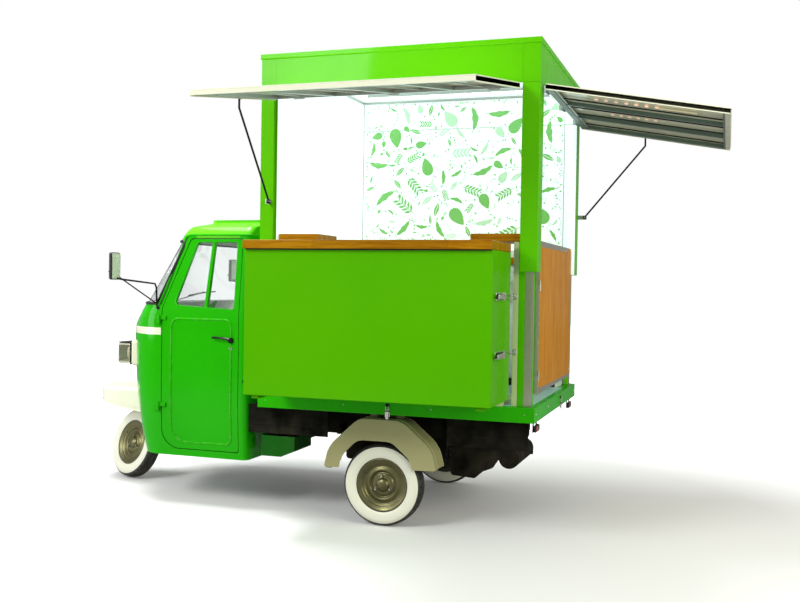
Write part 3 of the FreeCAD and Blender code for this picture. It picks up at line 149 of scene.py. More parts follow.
# ---------------------------------------------------------------- node graphs
class Graph:
    """Places and joins nodes in one node tree."""

    def __init__(self, tree: bpy.types.NodeTree) -> None:
        """Work on the given tree."""
        self.tree = tree

    def add(self, kind: str, inputs: dict[str | int, Value] | None = None, **settings: object) -> bpy.types.Node:
        """Place a node.

        Args:
            kind: Blender's name of the node type.
            inputs: values or upstream sockets by input name or number.
            **settings: the node's own properties.

        Returns:
            The new node.
        """
        node = self.tree.nodes.new(kind)
        for name, value in settings.items():
            setattr(node, name, value)
        for key, value in (inputs or {}).items():
            socket = node.inputs[key]
            if isinstance(value, Socket):
                self.tree.links.new(value, socket)
            elif socket.type == "RGBA":
                socket.default_value = (*value, 1.0)
            else:
                socket.default_value = value
        return node

    def coordinates(self, stretch: Place = (1.0, 1.0, 1.0)) -> Socket:
        """Object coordinates, stretched by a factor along each axis."""
        place = self.add("ShaderNodeTexCoord").outputs["Object"]
        if tuple(stretch) == (1.0, 1.0, 1.0):
            return place
        return self.add("ShaderNodeMapping", {"Vector": place, "Scale": stretch}).outputs["Vector"]

    def noise(self, place: Socket, scale: Value, detail: float = 3.0,
              distortion: float = 0.0) -> Socket:
        """Soft noise from 0 to 1 at a place."""
        node = self.add("ShaderNodeTexNoise", {"Vector": place, "Scale": scale, "Detail": detail,
                                               "Distortion": distortion})
        return node.outputs[0]

    def sum(self, operation: str, first: Value, second: Value) -> Socket:
        """Arithmetic on two numbers."""
        return self.add("ShaderNodeMath", {0: first, 1: second}, operation=operation).outputs[0]

    def spread(self, value: Value, low: float, high: float, to_low: Value = 0.0,
               to_high: Value = 1.0) -> Socket:
        """Map a number from one range to another, held at its ends."""
        node = self.add("ShaderNodeMapRange", {"Value": value, "From Min": low, "From Max": high,
                                               "To Min": to_low, "To Max": to_high})
        return node.outputs["Result"]

    def blend(self, share: Value, first: Value, second: Value) -> Socket:
        """Blend two colours by a share from 0 to 1."""
        return self.add("ShaderNodeMix", {0: share, 6: first, 7: second}, data_type="RGBA").outputs[2]

    def effect(self, effect: "Effect", inputs: dict[str, Value]) -> bpy.types.Node:
        """Place a shared effect's node group with its own values."""
        return self.add("ShaderNodeGroup", inputs, node_tree=effect.tree())

    def principled(self, inputs: dict[str, Value], height: Value | None = None,
                   depth: float = 0.0005) -> Socket:
        """Place the surface shader.

        Args:
            inputs: its values or sockets.
            height: relief from 0 to 1, if the surface has any.
            depth: depth of that relief.

        Returns:
            The shader's output socket.
        """
        if height is not None:
            bump = self.add("ShaderNodeBump", {"Height": height, "Distance": depth, "Strength": 1.0})
            inputs = {**inputs, "Normal": bump.outputs["Normal"]}
        return self.add("ShaderNodeBsdfPrincipled", inputs).outputs["BSDF"]


class Effect(Enum):
    """Surface effects that several finishes share."""

    FILM = "paint_film"
    DUST = "road_dust"
    WEAR = "edge_wear"
    GRAIN = "wood_grain"
    BRUSH = "brushed_lines"

    def tree(self) -> bpy.types.NodeTree:
        """The effect's node group, built the first time it is asked for."""
        found = bpy.data.node_groups.get(self.value)
        if found:
            return found
        builders = {Effect.FILM: build_film, Effect.DUST: build_low_dust_and_shade, Effect.WEAR: build_wear,
                    Effect.GRAIN: build_grain, Effect.BRUSH: build_brush}
        return builders[self](self.value)


def open_group(name: str, inputs: dict[str, float | Colour | None],
               outputs: Sequence[str]) -> tuple[Graph, dict[str, Socket], bpy.types.Node]:
    """Start a node group.

    Args:
        name: the group's name.
        inputs: defaults by input name; None stands for a place in space.
        outputs: output names; Colour is a colour and the rest are numbers.

    Returns:
        The graph to build in, the group's inputs by name, and its output node.
    """
    tree = bpy.data.node_groups.new(name, "ShaderNodeTree")
    for key, value in inputs.items():
        kind = "NodeSocketVector" if value is None else "NodeSocketFloat"
        kind = "NodeSocketColor" if isinstance(value, tuple) else kind
        socket = tree.interface.new_socket(name=key, in_out="INPUT", socket_type=kind)
        if value is not None:
            socket.default_value = (*value, 1.0) if isinstance(value, tuple) else value
    for key in outputs:
        kind = "NodeSocketColor" if key == "Colour" else "NodeSocketFloat"
        tree.interface.new_socket(name=key, in_out="OUTPUT", socket_type=kind)
    graph = Graph(tree)
    source = graph.add("NodeGroupInput")
    return graph, {key: source.outputs[key] for key in inputs}, graph.add("NodeGroupOutput")


def close_group(graph: Graph, sink: bpy.types.Node, results: dict[str, Socket]) -> bpy.types.NodeTree:
    """Join a group's results to its outputs."""
    for key, socket in results.items():
        graph.tree.links.new(socket, sink.inputs[key])
    return graph.tree


def build_film(name: str) -> bpy.types.NodeTree:
    """Sprayed paint: broad tone changes, patchy gloss and a fine orange peel."""
    graph, given, sink = open_group(name, {"Colour": (0.5, 0.5, 0.5), "Shade": (0.4, 0.4, 0.4),
                                           "Gloss Low": 0.2, "Gloss High": 0.4, "Peel": 260.0},
                                    ("Colour", "Roughness", "Height"))
    place = graph.coordinates()
    broad = graph.spread(graph.noise(place, 1.4), 0.32, 0.68)
    patchy = graph.noise(place, 6.0, 2.0)
    return close_group(graph, sink, {
        "Colour": graph.blend(broad, given["Colour"], given["Shade"]),
        "Roughness": graph.spread(patchy, 0.3, 0.7, given["Gloss Low"], given["Gloss High"]),
        "Height": graph.noise(place, given["Peel"], 1.0),
    })


def build_low_dust_and_shade(name: str) -> bpy.types.NodeTree:
    """Colour towards the ground that fades with height: road dust on most finishes, and painted shade on the cab's
    lower flanks.
    """
    graph, given, sink = open_group(name, {"Colour": (0.5, 0.5, 0.5), "Dust": (0.3, 0.27, 0.2),
                                           "Top": 0.7, "Amount": 0.5}, ("Colour", "Mask"))
    place = graph.coordinates()
    height = graph.add("ShaderNodeSeparateXYZ", {0: place}).outputs["Z"]
    band = graph.add("ShaderNodeMapRange", {"Value": height, "From Min": given["Top"], "From Max": 0.05})
    patch = graph.spread(graph.noise(place, 9.0, 6.0), 0.3, 0.75)
    mask = graph.sum("MULTIPLY", graph.sum("MULTIPLY", band.outputs["Result"], patch), given["Amount"])
    return close_group(graph, sink, {"Colour": graph.blend(mask, given["Colour"], given["Dust"]),
                                     "Mask": mask})


def build_wear(name: str) -> bpy.types.NodeTree:
    """Edges rubbed back to a paler under-coat."""
    graph, given, sink = open_group(name, {"Colour": (0.5, 0.5, 0.5), "Under": (0.6, 0.6, 0.6),
                                           "Amount": 0.5}, ("Colour", "Mask"))
    rounded = graph.add("ShaderNodeBevel", {"Radius": 0.006}, samples=3).outputs["Normal"]
    flat = graph.add("ShaderNodeNewGeometry").outputs["Normal"]
    turn = graph.add("ShaderNodeVectorMath", {0: rounded, 1: flat}, operation="DOT_PRODUCT").outputs["Value"]
    edge = graph.spread(turn, 0.985, 0.88)
    chips = graph.spread(graph.noise(graph.coordinates(), 38.0, 6.0), 0.45, 0.62)
    mask = graph.sum("MULTIPLY", graph.sum("MULTIPLY", edge, chips), given["Amount"])
    return close_group(graph, sink, {"Colour": graph.blend(mask, given["Colour"], given["Under"]),
                                     "Mask": mask})


def build_grain(name: str) -> bpy.types.NodeTree:
    """Wood grain on a stretched place: long growth bands with fine pores."""
    graph, given, sink = open_group(name, {"Place": None, "Light": (0.5, 0.3, 0.1), "Dark": (0.2, 0.1, 0.03),
                                           "Gloss": 0.25}, ("Colour", "Roughness", "Height"))
    bands = graph.noise(given["Place"], 2.2, 8.0, 1.1)
    streaks = graph.noise(given["Place"], 9.0, 5.0, 0.4)
    pores = graph.spread(graph.noise(given["Place"], 34.0, 3.0), 0.55, 0.75)
    mixed = graph.sum("ADD", graph.sum("MULTIPLY", bands, 0.65), graph.sum("MULTIPLY", streaks, 0.35))
    share = graph.sum("MAXIMUM", graph.spread(mixed, 0.38, 0.62), graph.sum("MULTIPLY", pores, 0.6))
    return close_group(graph, sink, {
        "Colour": graph.blend(share, given["Light"], given["Dark"]),
        "Roughness": graph.sum("ADD", given["Gloss"], graph.sum("MULTIPLY", share, 0.12)),
        "Height": share,
    })


def build_brush(name: str) -> bpy.types.NodeTree:
    """Fine parallel lines of drawn or brushed metal on a stretched place."""
    graph, given, sink = open_group(name, {"Place": None, "Gloss Low": 0.25, "Gloss High": 0.5},
                                    ("Roughness", "Height"))
    lines = graph.noise(given["Place"], 16.0, 4.0)
    stains = graph.noise(graph.coordinates(), 5.0, 4.0)
    both = graph.sum("ADD", graph.sum("MULTIPLY", lines, 0.6), graph.sum("MULTIPLY", stains, 0.4))
    return close_group(graph, sink, {
        "Roughness": graph.spread(both, 0.3, 0.7, given["Gloss Low"], given["Gloss High"]),
        "Height": lines,
    })


# ---------------------------------------------------------------- finishes
@dataclass(frozen=True)
class Finish:
    """A surface finish, made into a material once and shared by the pieces that have it."""

    name: str
    slot: str

    def material(self) -> bpy.types.Material:
        """The finish's material."""
        made = bpy.data.materials.get(self.name)
        if made is None:
            made = bpy.data.materials.new(self.name)
            made.use_nodes = True
            made.node_tree.nodes.clear()
            graph = Graph(made.node_tree)
            graph.add("ShaderNodeOutputMaterial", {"Surface": self.shader(graph)})
        return made

    def shader(self, graph: Graph) -> Socket:
        """Build the finish's shader; each kind of finish has its own."""
        raise NotImplementedError


@dataclass(frozen=True)
class Paint(Finish):
    """Gloss or satin paint on metal, with a tint low down and rubbed edges: road dust on most paints, painted shade
    on the cab.
    """

    colour: Colour
    shade: Colour
    gloss: tuple[float, float] = (0.16, 0.3)
    coat: float = 0.5
    peel: float = 0.00003
    # The low tint's amount, top and colour stand for road dust, and on the cab for painted shade.
    dust: float = 0.25
    dust_and_shade_top: float = 0.8
    dust_and_shade_colour: Colour = (0.3, 0.27, 0.18)
    wear: float = 0.25
    under: Colour = (0.6, 0.62, 0.5)

    def shader(self, graph: Graph) -> Socket:
        """Paint film, edge wear and the low tint (dust, and on the cab painted shade) over each other."""
        film = graph.effect(Effect.FILM, {"Colour": self.colour, "Shade": self.shade,
                                          "Gloss Low": self.gloss[0], "Gloss High": self.gloss[1]})
        worn = graph.effect(Effect.WEAR, {"Colour": film.outputs["Colour"], "Under": self.under,
                                          "Amount": self.wear})
        # Low tint: road dust on most paints, painted shade on the cab.
        dusty = graph.effect(Effect.DUST, {"Colour": worn.outputs["Colour"], "Dust": self.dust_and_shade_colour,
                                           "Top": self.dust_and_shade_top, "Amount": self.dust})
        rough = graph.sum("ADD", film.outputs["Roughness"], graph.sum("MULTIPLY", dusty.outputs["Mask"], 0.5))
        return graph.principled({"Base Color": dusty.outputs["Colour"], "Roughness": rough,
                                 "Specular IOR Level": 0.02, "Coat Weight": self.coat, "Coat Roughness": 0.06},
                                film.outputs["Height"], self.peel)


@dataclass(frozen=True)
class Metal(Finish):
    """Bare metal with drawn lines along one axis."""

    colour: Colour
    stretch: tuple[float, float, float] = (8.0, 8.0, 0.6)
    gloss: tuple[float, float] = (0.26, 0.48)
    depth: float = 0.00012
    tint: Colour = (0.6, 0.6, 0.57)

    def shader(self, graph: Graph) -> Socket:
        """Brushed metal with a faint tarnish."""
        lines = graph.effect(Effect.BRUSH, {"Place": graph.coordinates(self.stretch),
                                            "Gloss Low": self.gloss[0], "Gloss High": self.gloss[1]})
        worn = graph.effect(Effect.WEAR, {"Colour": self.colour, "Under": (0.9, 0.9, 0.88), "Amount": 0.5})
        tarnish = graph.spread(graph.noise(graph.coordinates(), 6.0, 5.0), 0.4, 0.8, 0.0, 0.5)
        return graph.principled({"Base Color": graph.blend(tarnish, worn.outputs["Colour"], self.tint),
                                 "Roughness": lines.outputs["Roughness"], "Metallic": 0.92},
                                lines.outputs["Height"], self.depth)


@dataclass(frozen=True)
class Wood(Finish):
    """Varnished wood with its grain along one axis, in glued staves or in one sheet."""

    light: Colour
    dark: Colour
    stretch: tuple[float, float, float]
    staves: tuple[float, float] | None = None
    coat: float = 0.1

    def shader(self, graph: Graph) -> Socket:
        """Grain, with a tone for each stave where the wood is glued up."""
        grain = graph.effect(Effect.GRAIN, {"Place": graph.coordinates(self.stretch), "Light": self.light,
                                            "Dark": self.dark, "Gloss": 0.2})
        colour = grain.outputs["Colour"]
        if self.staves:
            length, width = self.staves
            brick = graph.add("ShaderNodeTexBrick", {
                "Vector": graph.coordinates(), "Color1": (0.72, 0.72, 0.72), "Color2": (1.0, 1.0, 1.0),
                "Mortar": (0.3, 0.28, 0.25), "Scale": 1.0, "Mortar Size": 0.0007, "Mortar Smooth": 0.3,
                "Brick Width": length, "Row Height": width})
            colour = graph.add("ShaderNodeMix", {0: 1.0, 6: colour, 7: brick.outputs["Color"]},
                               data_type="RGBA", blend_type="MULTIPLY").outputs[2]
        return graph.principled({"Base Color": colour, "Roughness": grain.outputs["Roughness"],
                                 "Specular IOR Level": 0.02, "Coat Weight": self.coat, "Coat Roughness": 0.12},
                                grain.outputs["Height"], 0.0002)


@dataclass(frozen=True)
class Rubber(Finish):
    """Rubber or moulded black plastic."""

    colour: Colour = (0.014, 0.014, 0.014)
    gloss: tuple[float, float] = (0.45, 0.7)
    dust: float = 0.5
    grain: float = 420.0

    def shader(self, graph: Graph) -> Socket:
        """Dark moulding with a fine grain and dust."""
        shade = tuple(channel * 1.7 for channel in self.colour)
        film = graph.effect(Effect.FILM, {"Colour": self.colour, "Shade": shade, "Gloss Low": self.gloss[0],
                                          "Gloss High": self.gloss[1], "Peel": self.grain})
        dusty = graph.effect(Effect.DUST, {"Colour": film.outputs["Colour"], "Dust": (0.2, 0.18, 0.14),
                                           "Top": 0.5, "Amount": self.dust})
        return graph.principled({"Base Color": dusty.outputs["Colour"],
                                 "Roughness": film.outputs["Roughness"]}, film.outputs["Height"], 0.0002)


@dataclass(frozen=True)
class Laminate(Finish):
    """Smooth white panel or painted sheet with faint scuffs."""

    colour: Colour
    shade: Colour
    gloss: tuple[float, float] = (0.22, 0.4)
    glow: float = 0.0

    def shader(self, graph: Graph) -> Socket:
        """Even colour with scuffed gloss; where glow is set, the colour also glows evenly, painted light standing in
        for the lamps' wash over it.
        """
        film = graph.effect(Effect.FILM, {"Colour": self.colour, "Shade": self.shade,
                                          "Gloss Low": self.gloss[0], "Gloss High": self.gloss[1],
                                          "Peel": 120.0})
        inputs = {"Base Color": film.outputs["Colour"], "Roughness": film.outputs["Roughness"]}
        # Painted light: the colour glows evenly as if lamps washed over it.
        if self.glow:
            inputs |= {"Emission Color": film.outputs["Colour"], "Emission Strength": self.glow}
        return graph.principled(inputs, film.outputs["Height"], 0.00005)


@dataclass(frozen=True)
class Vinyl(Finish):
    """Grained seat vinyl."""

    colour: Colour = (0.018, 0.018, 0.02)

    def shader(self, graph: Graph) -> Socket:
        """Leather-like cells with worn, shinier high spots."""
        place = graph.coordinates()
        cells = graph.add("ShaderNodeTexVoronoi", {"Vector": place, "Scale": 330.0}).outputs["Distance"]
        creases = graph.noise(place, 24.0, 6.0, 0.6)
        relief = graph.sum("ADD", graph.sum("MULTIPLY", cells, 0.5), graph.sum("MULTIPLY", creases, 0.5))
        pale = tuple(channel * 2.2 for channel in self.colour)
        return graph.principled({"Base Color": graph.blend(graph.spread(creases, 0.4, 0.7), self.colour, pale),
                                 "Roughness": graph.spread(creases, 0.3, 0.7, 0.32, 0.55)}, relief, 0.0007)


@dataclass(frozen=True)
class Glass(Finish):
    """Clear or tinted pane that lets light through."""

    tint: Colour = (0.97, 0.99, 0.99)
    roughness: float = 0.02

    def shader(self, graph: Graph) -> Socket:
        """Glass whose shadow is only as dark as its tint."""
        smear = graph.spread(graph.noise(graph.coordinates(), 4.0, 5.0), 0.35, 0.75, self.roughness,
                             self.roughness + 0.05)
        pane = graph.principled({"Base Color": self.tint, "Roughness": smear, "IOR": 1.45,
                                 "Transmission Weight": 1.0})
        clear = graph.add("ShaderNodeBsdfTransparent", {"Color": self.tint}).outputs[0]
        shadow = graph.add("ShaderNodeLightPath").outputs["Is Shadow Ray"]
        return graph.add("ShaderNodeMixShader", {0: shadow, 1: pane, 2: clear}).outputs[0]


@dataclass(frozen=True)
class Glow(Finish):
    """Lit strip of small lamps under a milky cover."""

    colour: Colour
    strength: float
    pitch: float = 34.0

    def shader(self, graph: Graph) -> Socket:
        """Light that swells at each small lamp along the strip."""
        place = graph.coordinates((self.pitch, self.pitch, self.pitch))
        dots = graph.add("ShaderNodeTexVoronoi", {"Vector": place, "Scale": 1.0}).outputs["Distance"]
        bright = graph.spread(dots, 0.1, 0.6, 1.0, 0.25)
        dark = tuple(channel * 0.2 for channel in self.colour)
        lit = graph.blend(bright, dark, self.colour)
        return graph.principled({"Base Color": (0.8, 0.8, 0.8), "Roughness": 0.3, "Emission Color": lit,
                                 "Emission Strength": self.strength})


@dataclass(frozen=True)
class Backdrop(Finish):
    """Studio floor: pale to the camera, duller to the light that bounces off it."""

    colour: Colour
    dull: Colour
    lift: float

    def shader(self, graph: Graph) -> Socket:
        """Pale sheet with a little light of its own where the camera sees it, and more of it far away."""
        seen = graph.add("ShaderNodeLightPath").outputs["Is Camera Ray"]
        away = graph.add("ShaderNodeVectorMath", {0: graph.coordinates()}, operation="LENGTH").outputs["Value"]
        lift = graph.spread(away, 2.6, 6.5, self.lift, 1.0)
        return graph.principled({"Base Color": graph.blend(seen, self.dull, self.colour), "Roughness": 0.8,
                                 "Specular IOR Level": 0.0, "Emission Color": (1.0, 1.0, 1.0),
                                 "Emission Strength": graph.sum("MULTIPLY", seen, lift)})


BOX_GREEN = Paint("box_green_gloss", "green_paint", (0.088, 0.43, 0.0), (0.078, 0.41, 0.0), coat=0.12, dust=0.0,
                  wear=0.1, under=(0.2, 0.55, 0.05))
# The cab's dust settings paint shade: a dark green that darkens its lower flanks up to 0.7 m.
CAB_GREEN = Paint("cab_green_gloss", "green_paint", (0.018, 0.47, 0.0), (0.014, 0.42, 0.0),
                  gloss=(0.1, 0.2), coat=0.3, dust=0.1, dust_and_shade_top=0.7, dust_and_shade_colour=(0.004, 0.13, 0.0),
                  under=(0.2, 0.55, 0.1))
# Paler, yellower green for the cab's roof: a painted highlight where light falls on the top.
CAB_ROOF_PAINTED_HIGHLIGHT = Paint("cab_roof_painted_highlight", "green_paint", (0.14, 0.6, 0.02), (0.12, 0.56, 0.015), coat=0.3, dust=0.0,
                       under=(0.3, 0.65, 0.1))
ROOF_GREEN = Paint("roof_green_gloss", "green_paint", (0.11, 0.55, 0.002), (0.1, 0.5, 0.001), coat=0.12, dust=0.0,
                   wear=0.1, under=(0.3, 0.65, 0.1))
# Sill green; on the door's bead it is also a painted highlight along the raised line.
SILL_GREEN_AND_BEAD_HIGHLIGHT = Paint("sill_green_and_bead_highlight", "green_paint", (0.03, 0.5, 0.0), (0.02, 0.42, 0.0), coat=0.12, dust=0.0)
COLUMN_GREEN = Paint("column_green_gloss", "green_paint", (0.07, 0.5, 0.0), (0.12, 0.55, 0.0),
                     gloss=(0.06, 0.12), coat=0.25, dust=0.0, wear=0.1)
DARK_GREEN = Paint("under_green_satin", "dark_green", (0.004, 0.12, 0.004), (0.003, 0.09, 0.004),
                   gloss=(0.3, 0.5), coat=0.1, dust=0.08)
KHAKI = Paint("mudguard_khaki_gloss", "khaki_paint", (0.42, 0.4, 0.2), (0.36, 0.34, 0.16),
              gloss=(0.16, 0.3), coat=0.4, dust=0.12, dust_and_shade_top=0.5, wear=0.4)
CREAM = Paint("cream_gloss", "cream_paint", (0.9, 0.91, 0.72), (0.86, 0.87, 0.67), dust=0.02, dust_and_shade_top=0.5,
              wear=0.2, under=(0.4, 0.4, 0.33))
POD_CREAM = Paint("lamp_cream_gloss", "cream_paint", (0.82, 0.83, 0.62), (0.76, 0.77, 0.55), dust=0.05)
POST_CREAM = Paint("post_cream_satin", "cream_paint", (0.6, 0.72, 0.36), (0.5, 0.62, 0.3),
                   gloss=(0.25, 0.4), dust=0.1)
RIM_BRONZE = Metal("rim_bronze", "rim_paint", (0.2, 0.19, 0.09), (1.0, 1.0, 1.0), (0.3, 0.45), 0.00004,
                   (0.12, 0.11, 0.05))
BLACK = Paint("black_satin", "black_metal", (0.012, 0.012, 0.012), (0.02, 0.02, 0.02), gloss=(0.25, 0.42),
              coat=0.2, dust=0.15, wear=0.3, under=(0.2, 0.2, 0.2))
UNDERSEAL = Paint("underseal_matt", "chassis_black", (0.003, 0.003, 0.003), (0.006, 0.006, 0.005),
                  gloss=(0.5, 0.75), coat=0.0, peel=0.0006, dust=0.25, wear=0.1, under=(0.08, 0.07, 0.06))
CAST = Metal("cast_metal_dull", "engine_metal", (0.05, 0.05, 0.048), (1.0, 1.0, 1.0), (0.45, 0.7), 0.0006,
             (0.02, 0.018, 0.015))
ALUMINIUM = Metal("aluminium_upright", "aluminium", (0.55, 0.53, 0.42))
ALUMINIUM_FLAT = Metal("aluminium_lengthwise", "aluminium", (0.46, 0.5, 0.46), (0.6, 8.0, 8.0))
STEEL = Metal("bright_steel", "aluminium", (0.75, 0.74, 0.7), (3.0, 3.0, 3.0), (0.12, 0.3), 0.00005)
MIRROR = Laminate("mirror_silver", "aluminium", (0.62, 0.66, 0.56), (0.8, 0.83, 0.76), (0.06, 0.12))
TOP_WOOD = Wood("counter_wood_staves", "wood", (0.52, 0.24, 0.006), (0.32, 0.12, 0.001), (1.1, 16.0, 16.0),
                (0.75, 0.042))
DOOR_WOOD = Wood("door_wood_upright", "wood", (0.68, 0.28, 0.0), (0.52, 0.19, 0.0), (13.0, 13.0, 0.9), coat=0.0)
RUBBER = Rubber("tyre_rubber", "tyre")
WHITEWALL = Laminate("tyre_whitewall", "tyre", (0.93, 0.93, 0.78), (0.86, 0.86, 0.7), (0.4, 0.6))
SEAL = Rubber("rubber_seal", "black_plastic", (0.008, 0.008, 0.008), (0.3, 0.5), 0.1)
PLASTIC = Rubber("black_moulding", "black_plastic", (0.014, 0.014, 0.014), (0.3, 0.45), 0.1, 600.0)
WHITE = Laminate("white_laminate", "white_panel", (0.8, 0.88, 0.88), (0.76, 0.85, 0.86))
# White lining that glows a little: painted light standing in for the lamps' wash on the walls.
WHITE_PAINTED_GLOW = Laminate("white_laminate_painted_glow", "white_panel", (0.86, 0.95, 0.94), (0.8, 0.92, 0.93),
                     glow=0.55)
GREY_LINING = Laminate("awning_lining_grey", "white_panel", (0.15, 0.22, 0.185), (0.11, 0.17, 0.14), (0.35, 0.5))
# The print glows a little too: painted light standing in for the lamps' wash on the wall.
LEAF = Laminate("wall_print_green", "white_panel", (0.23, 0.62, 0.16), (0.19, 0.56, 0.12), glow=0.2)
PALE_LEAF = Laminate("wall_print_pale", "white_panel", (0.55, 0.84, 0.56), (0.5, 0.8, 0.52), glow=0.3)
FLOOR_SHEET = Laminate("floor_sheet", "white_panel", (0.35, 0.62, 0.58), (0.5, 0.72, 0.68), (0.3, 0.5))
CAB_LINING = Laminate("cab_lining_pale", "white_panel", (0.72, 0.78, 0.7), (0.66, 0.72, 0.64), (0.4, 0.6))
VINYL = Vinyl("seat_vinyl_grained", "seat_vinyl")
PANE = Glass("clear_pane", "glass")
LAMP_GLASS = Glass("ribbed_lamp_glass", "lens", (0.88, 0.86, 0.76), 0.08)
RED_LENS = Glass("red_lens", "red_lens", (0.6, 0.015, 0.01), 0.1)
AMBER_LENS = Glass("amber_lens", "red_lens", (0.75, 0.25, 0.02), 0.1)
LAMP_WHITE = Glow("lamp_strip_white", "white_panel", (0.85, 1.0, 1.0), 4.0)
LAMP_WARM = Glow("lamp_dots_warm", "white_panel", (1.0, 0.45, 0.3), 1.1, 3.0)
LAMP_YELLOW = Glow("lamp_strip_yellow", "white_panel", (0.7, 0.5, 0.08), 0.5, 3.0)


# ---------------------------------------------------------------- solids and pieces
class Solid:
    """One shape under construction, in metres, in the truck's own axes."""

    def __init__(self) -> None:
        """Start with nothing."""
        self.bm = bmesh.new()

    @staticmethod
    def block(low: Place, high: Place) -> "Solid":
        """Block between two opposite corners."""
        solid = Solid()
        size = [abs(b - a) for a, b in zip(low, high)]
        matrix = Matrix.Translation((Vector(low) + Vector(high)) / 2) @ Matrix.Diagonal((*size, 1.0))
        bmesh.ops.create_cube(solid.bm, size=1.0, matrix=matrix)
        return solid

    @staticmethod
    def rod(start: Place, end: Place, radius: float, tip: float | None = None, steps: int = 20) -> "Solid":
        """Round bar from one point to another.

        Args:
            start: middle of its first end.
            end: middle of its other end.
            radius: its radius.
            tip: radius at the other end, where it tapers.
            steps: how many sides it has.

        Returns:
            The bar.
        """
        solid = Solid()
        run = Vector(end) - Vector(start)
        matrix = Matrix.Translation((Vector(start) + Vector(end)) / 2)
        matrix = matrix @ run.to_track_quat("Z", "Y").to_matrix().to_4x4()
        bmesh.ops.create_cone(solid.bm, cap_ends=True, segments=steps, radius1=radius,
                              radius2=radius if tip is None else tip, depth=run.length, matrix=matrix)
        return solid

    @staticmethod
    def ball(centre: Place, radius: float, scale: Place = (1.0, 1.0, 1.0), steps: int = 18) -> "Solid":
        """Ball, or an egg where scale differs by axis."""
        solid = Solid()
        matrix = Matrix.Translation(Vector(centre)) @ Matrix.Diagonal((*scale, 1.0))
        bmesh.ops.create_uvsphere(solid.bm, u_segments=steps, v_segments=max(6, steps // 2), radius=radius,
                                  matrix=matrix)
        return solid

    @staticmethod
    def lathe(rows: Sequence[tuple[float, float]], closed: bool, steps: int = 72) -> "Solid":
        """Turned shape about Y.

        Args:
            rows: places along the axis and radii of its profile, in order.
            closed: whether the profile joins back to its start; otherwise both ends lie on the axis.
            steps: how many steps the turn has.

        Returns:
            The turned shape, round the origin.
        """
        solid = Solid()
        bm = solid.bm
        points = [bm.verts.new((0.0, axial, radial)) for axial, radial in rows]
        following = points[1:] + (points[:1] if closed else [])
        lines = [bm.edges.new(pair) for pair in zip(points, following)]
        bmesh.ops.spin(bm, geom=points + lines, cent=(0, 0, 0), axis=Y_AXIS, dvec=(0, 0, 0),
                       angle=math.tau, steps=steps, use_merge=True, use_duplicate=False)
        bmesh.ops.remove_doubles(bm, verts=bm.verts[:], dist=1e-6)
        bmesh.ops.dissolve_degenerate(bm, edges=bm.edges[:], dist=1e-7)
        bmesh.ops.recalc_face_normals(bm, faces=bm.faces[:])
        return solid

    @staticmethod
    def plate(corners: Sequence[Corner], y0: float, y1: float, steps: int = 6) -> "Solid":
        """Flat plate across the truck with rounded corners.

        Args:
            corners: x, z and corner radius of each corner, in order.
            y0: one face.
            y1: the other face.
            steps: how many steps each rounded corner has.

        Returns:
            The plate.
        """
        solid = Solid()
        bm = solid.bm
        points = [bm.verts.new((x, y0, z)) for x, z, _ in corners]
        bm.faces.new(points)
        flat = [Vector((x, 0.0, z)) for x, z, _ in corners]
        for i, (_, _, radius) in enumerate(corners):
            if radius > 0:
                before, after = flat[i - 1] - flat[i], flat[(i + 1) % len(flat)] - flat[i]
                reach = radius / math.tan(before.angle(after) / 2)
                bmesh.ops.bevel(bm, geom=[points[i]], offset=reach, offset_type="OFFSET", segments=steps,
                                profile=0.5, affect="VERTICES", clamp_overlap=False, material=-1)
        return solid.thickened(y1 - y0)

    @staticmethod
    def tube(points: Sequence[Place], radius: float, steps: int = 8, looped: bool = False) -> "Solid":
        """Round bar that follows points with straight runs."""
        solid = Solid()
        curve = bpy.data.curves.new("route", "CURVE")
        curve.dimensions = "3D"
        curve.bevel_depth = radius
        curve.bevel_resolution = max(1, steps // 4)
        curve.use_fill_caps = True
        spline = curve.splines.new("POLY")
        spline.points.add(len(points) - 1)
        for slot, place in zip(spline.points, points):
            slot.co = (*place, 1.0)
        spline.use_cyclic_u = looped
        carrier = bpy.data.objects.new("route", curve)
        mesh = bpy.data.meshes.new_from_object(carrier)
        solid.bm.from_mesh(mesh)
        bpy.data.objects.remove(carrier)
        bpy.data.meshes.remove(mesh)
        bpy.data.curves.remove(curve)
        bmesh.ops.remove_doubles(solid.bm, verts=solid.bm.verts[:], dist=1e-6)
        bmesh.ops.recalc_face_normals(solid.bm, faces=solid.bm.faces[:])
        return solid

    @staticmethod
    def loft(rings: Sequence[Sequence[Vector]]) -> "Solid":
        """Closed skin over rings with the same number of points, capped at both ends."""
        solid = Solid()
        bm = solid.bm
        loops = []
        for ring in rings:
            points = [bm.verts.new(place) for place in ring]
            loops.append([bm.edges.new(pair) for pair in zip(points, points[1:] + points[:1])])
        for lower, upper in zip(loops, loops[1:]):
            bmesh.ops.bridge_loops(bm, edges=lower + upper)
        for loop in (loops[0], loops[-1]):
            bmesh.ops.contextual_create(bm, geom=loop)
        bmesh.ops.recalc_face_normals(bm, faces=bm.faces[:])
        return solid

    @staticmethod
    def from_node(node: str) -> "Solid":
        """Copy of a CAD node's mesh, joined into closed shapes, in the truck's own axes."""
        solid = Solid()
        bm = solid.bm
        bm.from_mesh(frame["nodes"][node].data)
        bmesh.ops.remove_doubles(bm, verts=bm.verts[:], dist=2e-5)
        bmesh.ops.dissolve_degenerate(bm, edges=bm.edges[:], dist=2e-5)
        bmesh.ops.dissolve_limit(bm, angle_limit=math.radians(0.6), verts=bm.verts[:], edges=bm.edges[:])
        bmesh.ops.translate(bm, verts=bm.verts[:], vec=-ORIGIN)
        return solid

    def copy(self) -> "Solid":
        """The same shape again."""
        twin = Solid()
        twin.bm = self.bm.copy()
        return twin

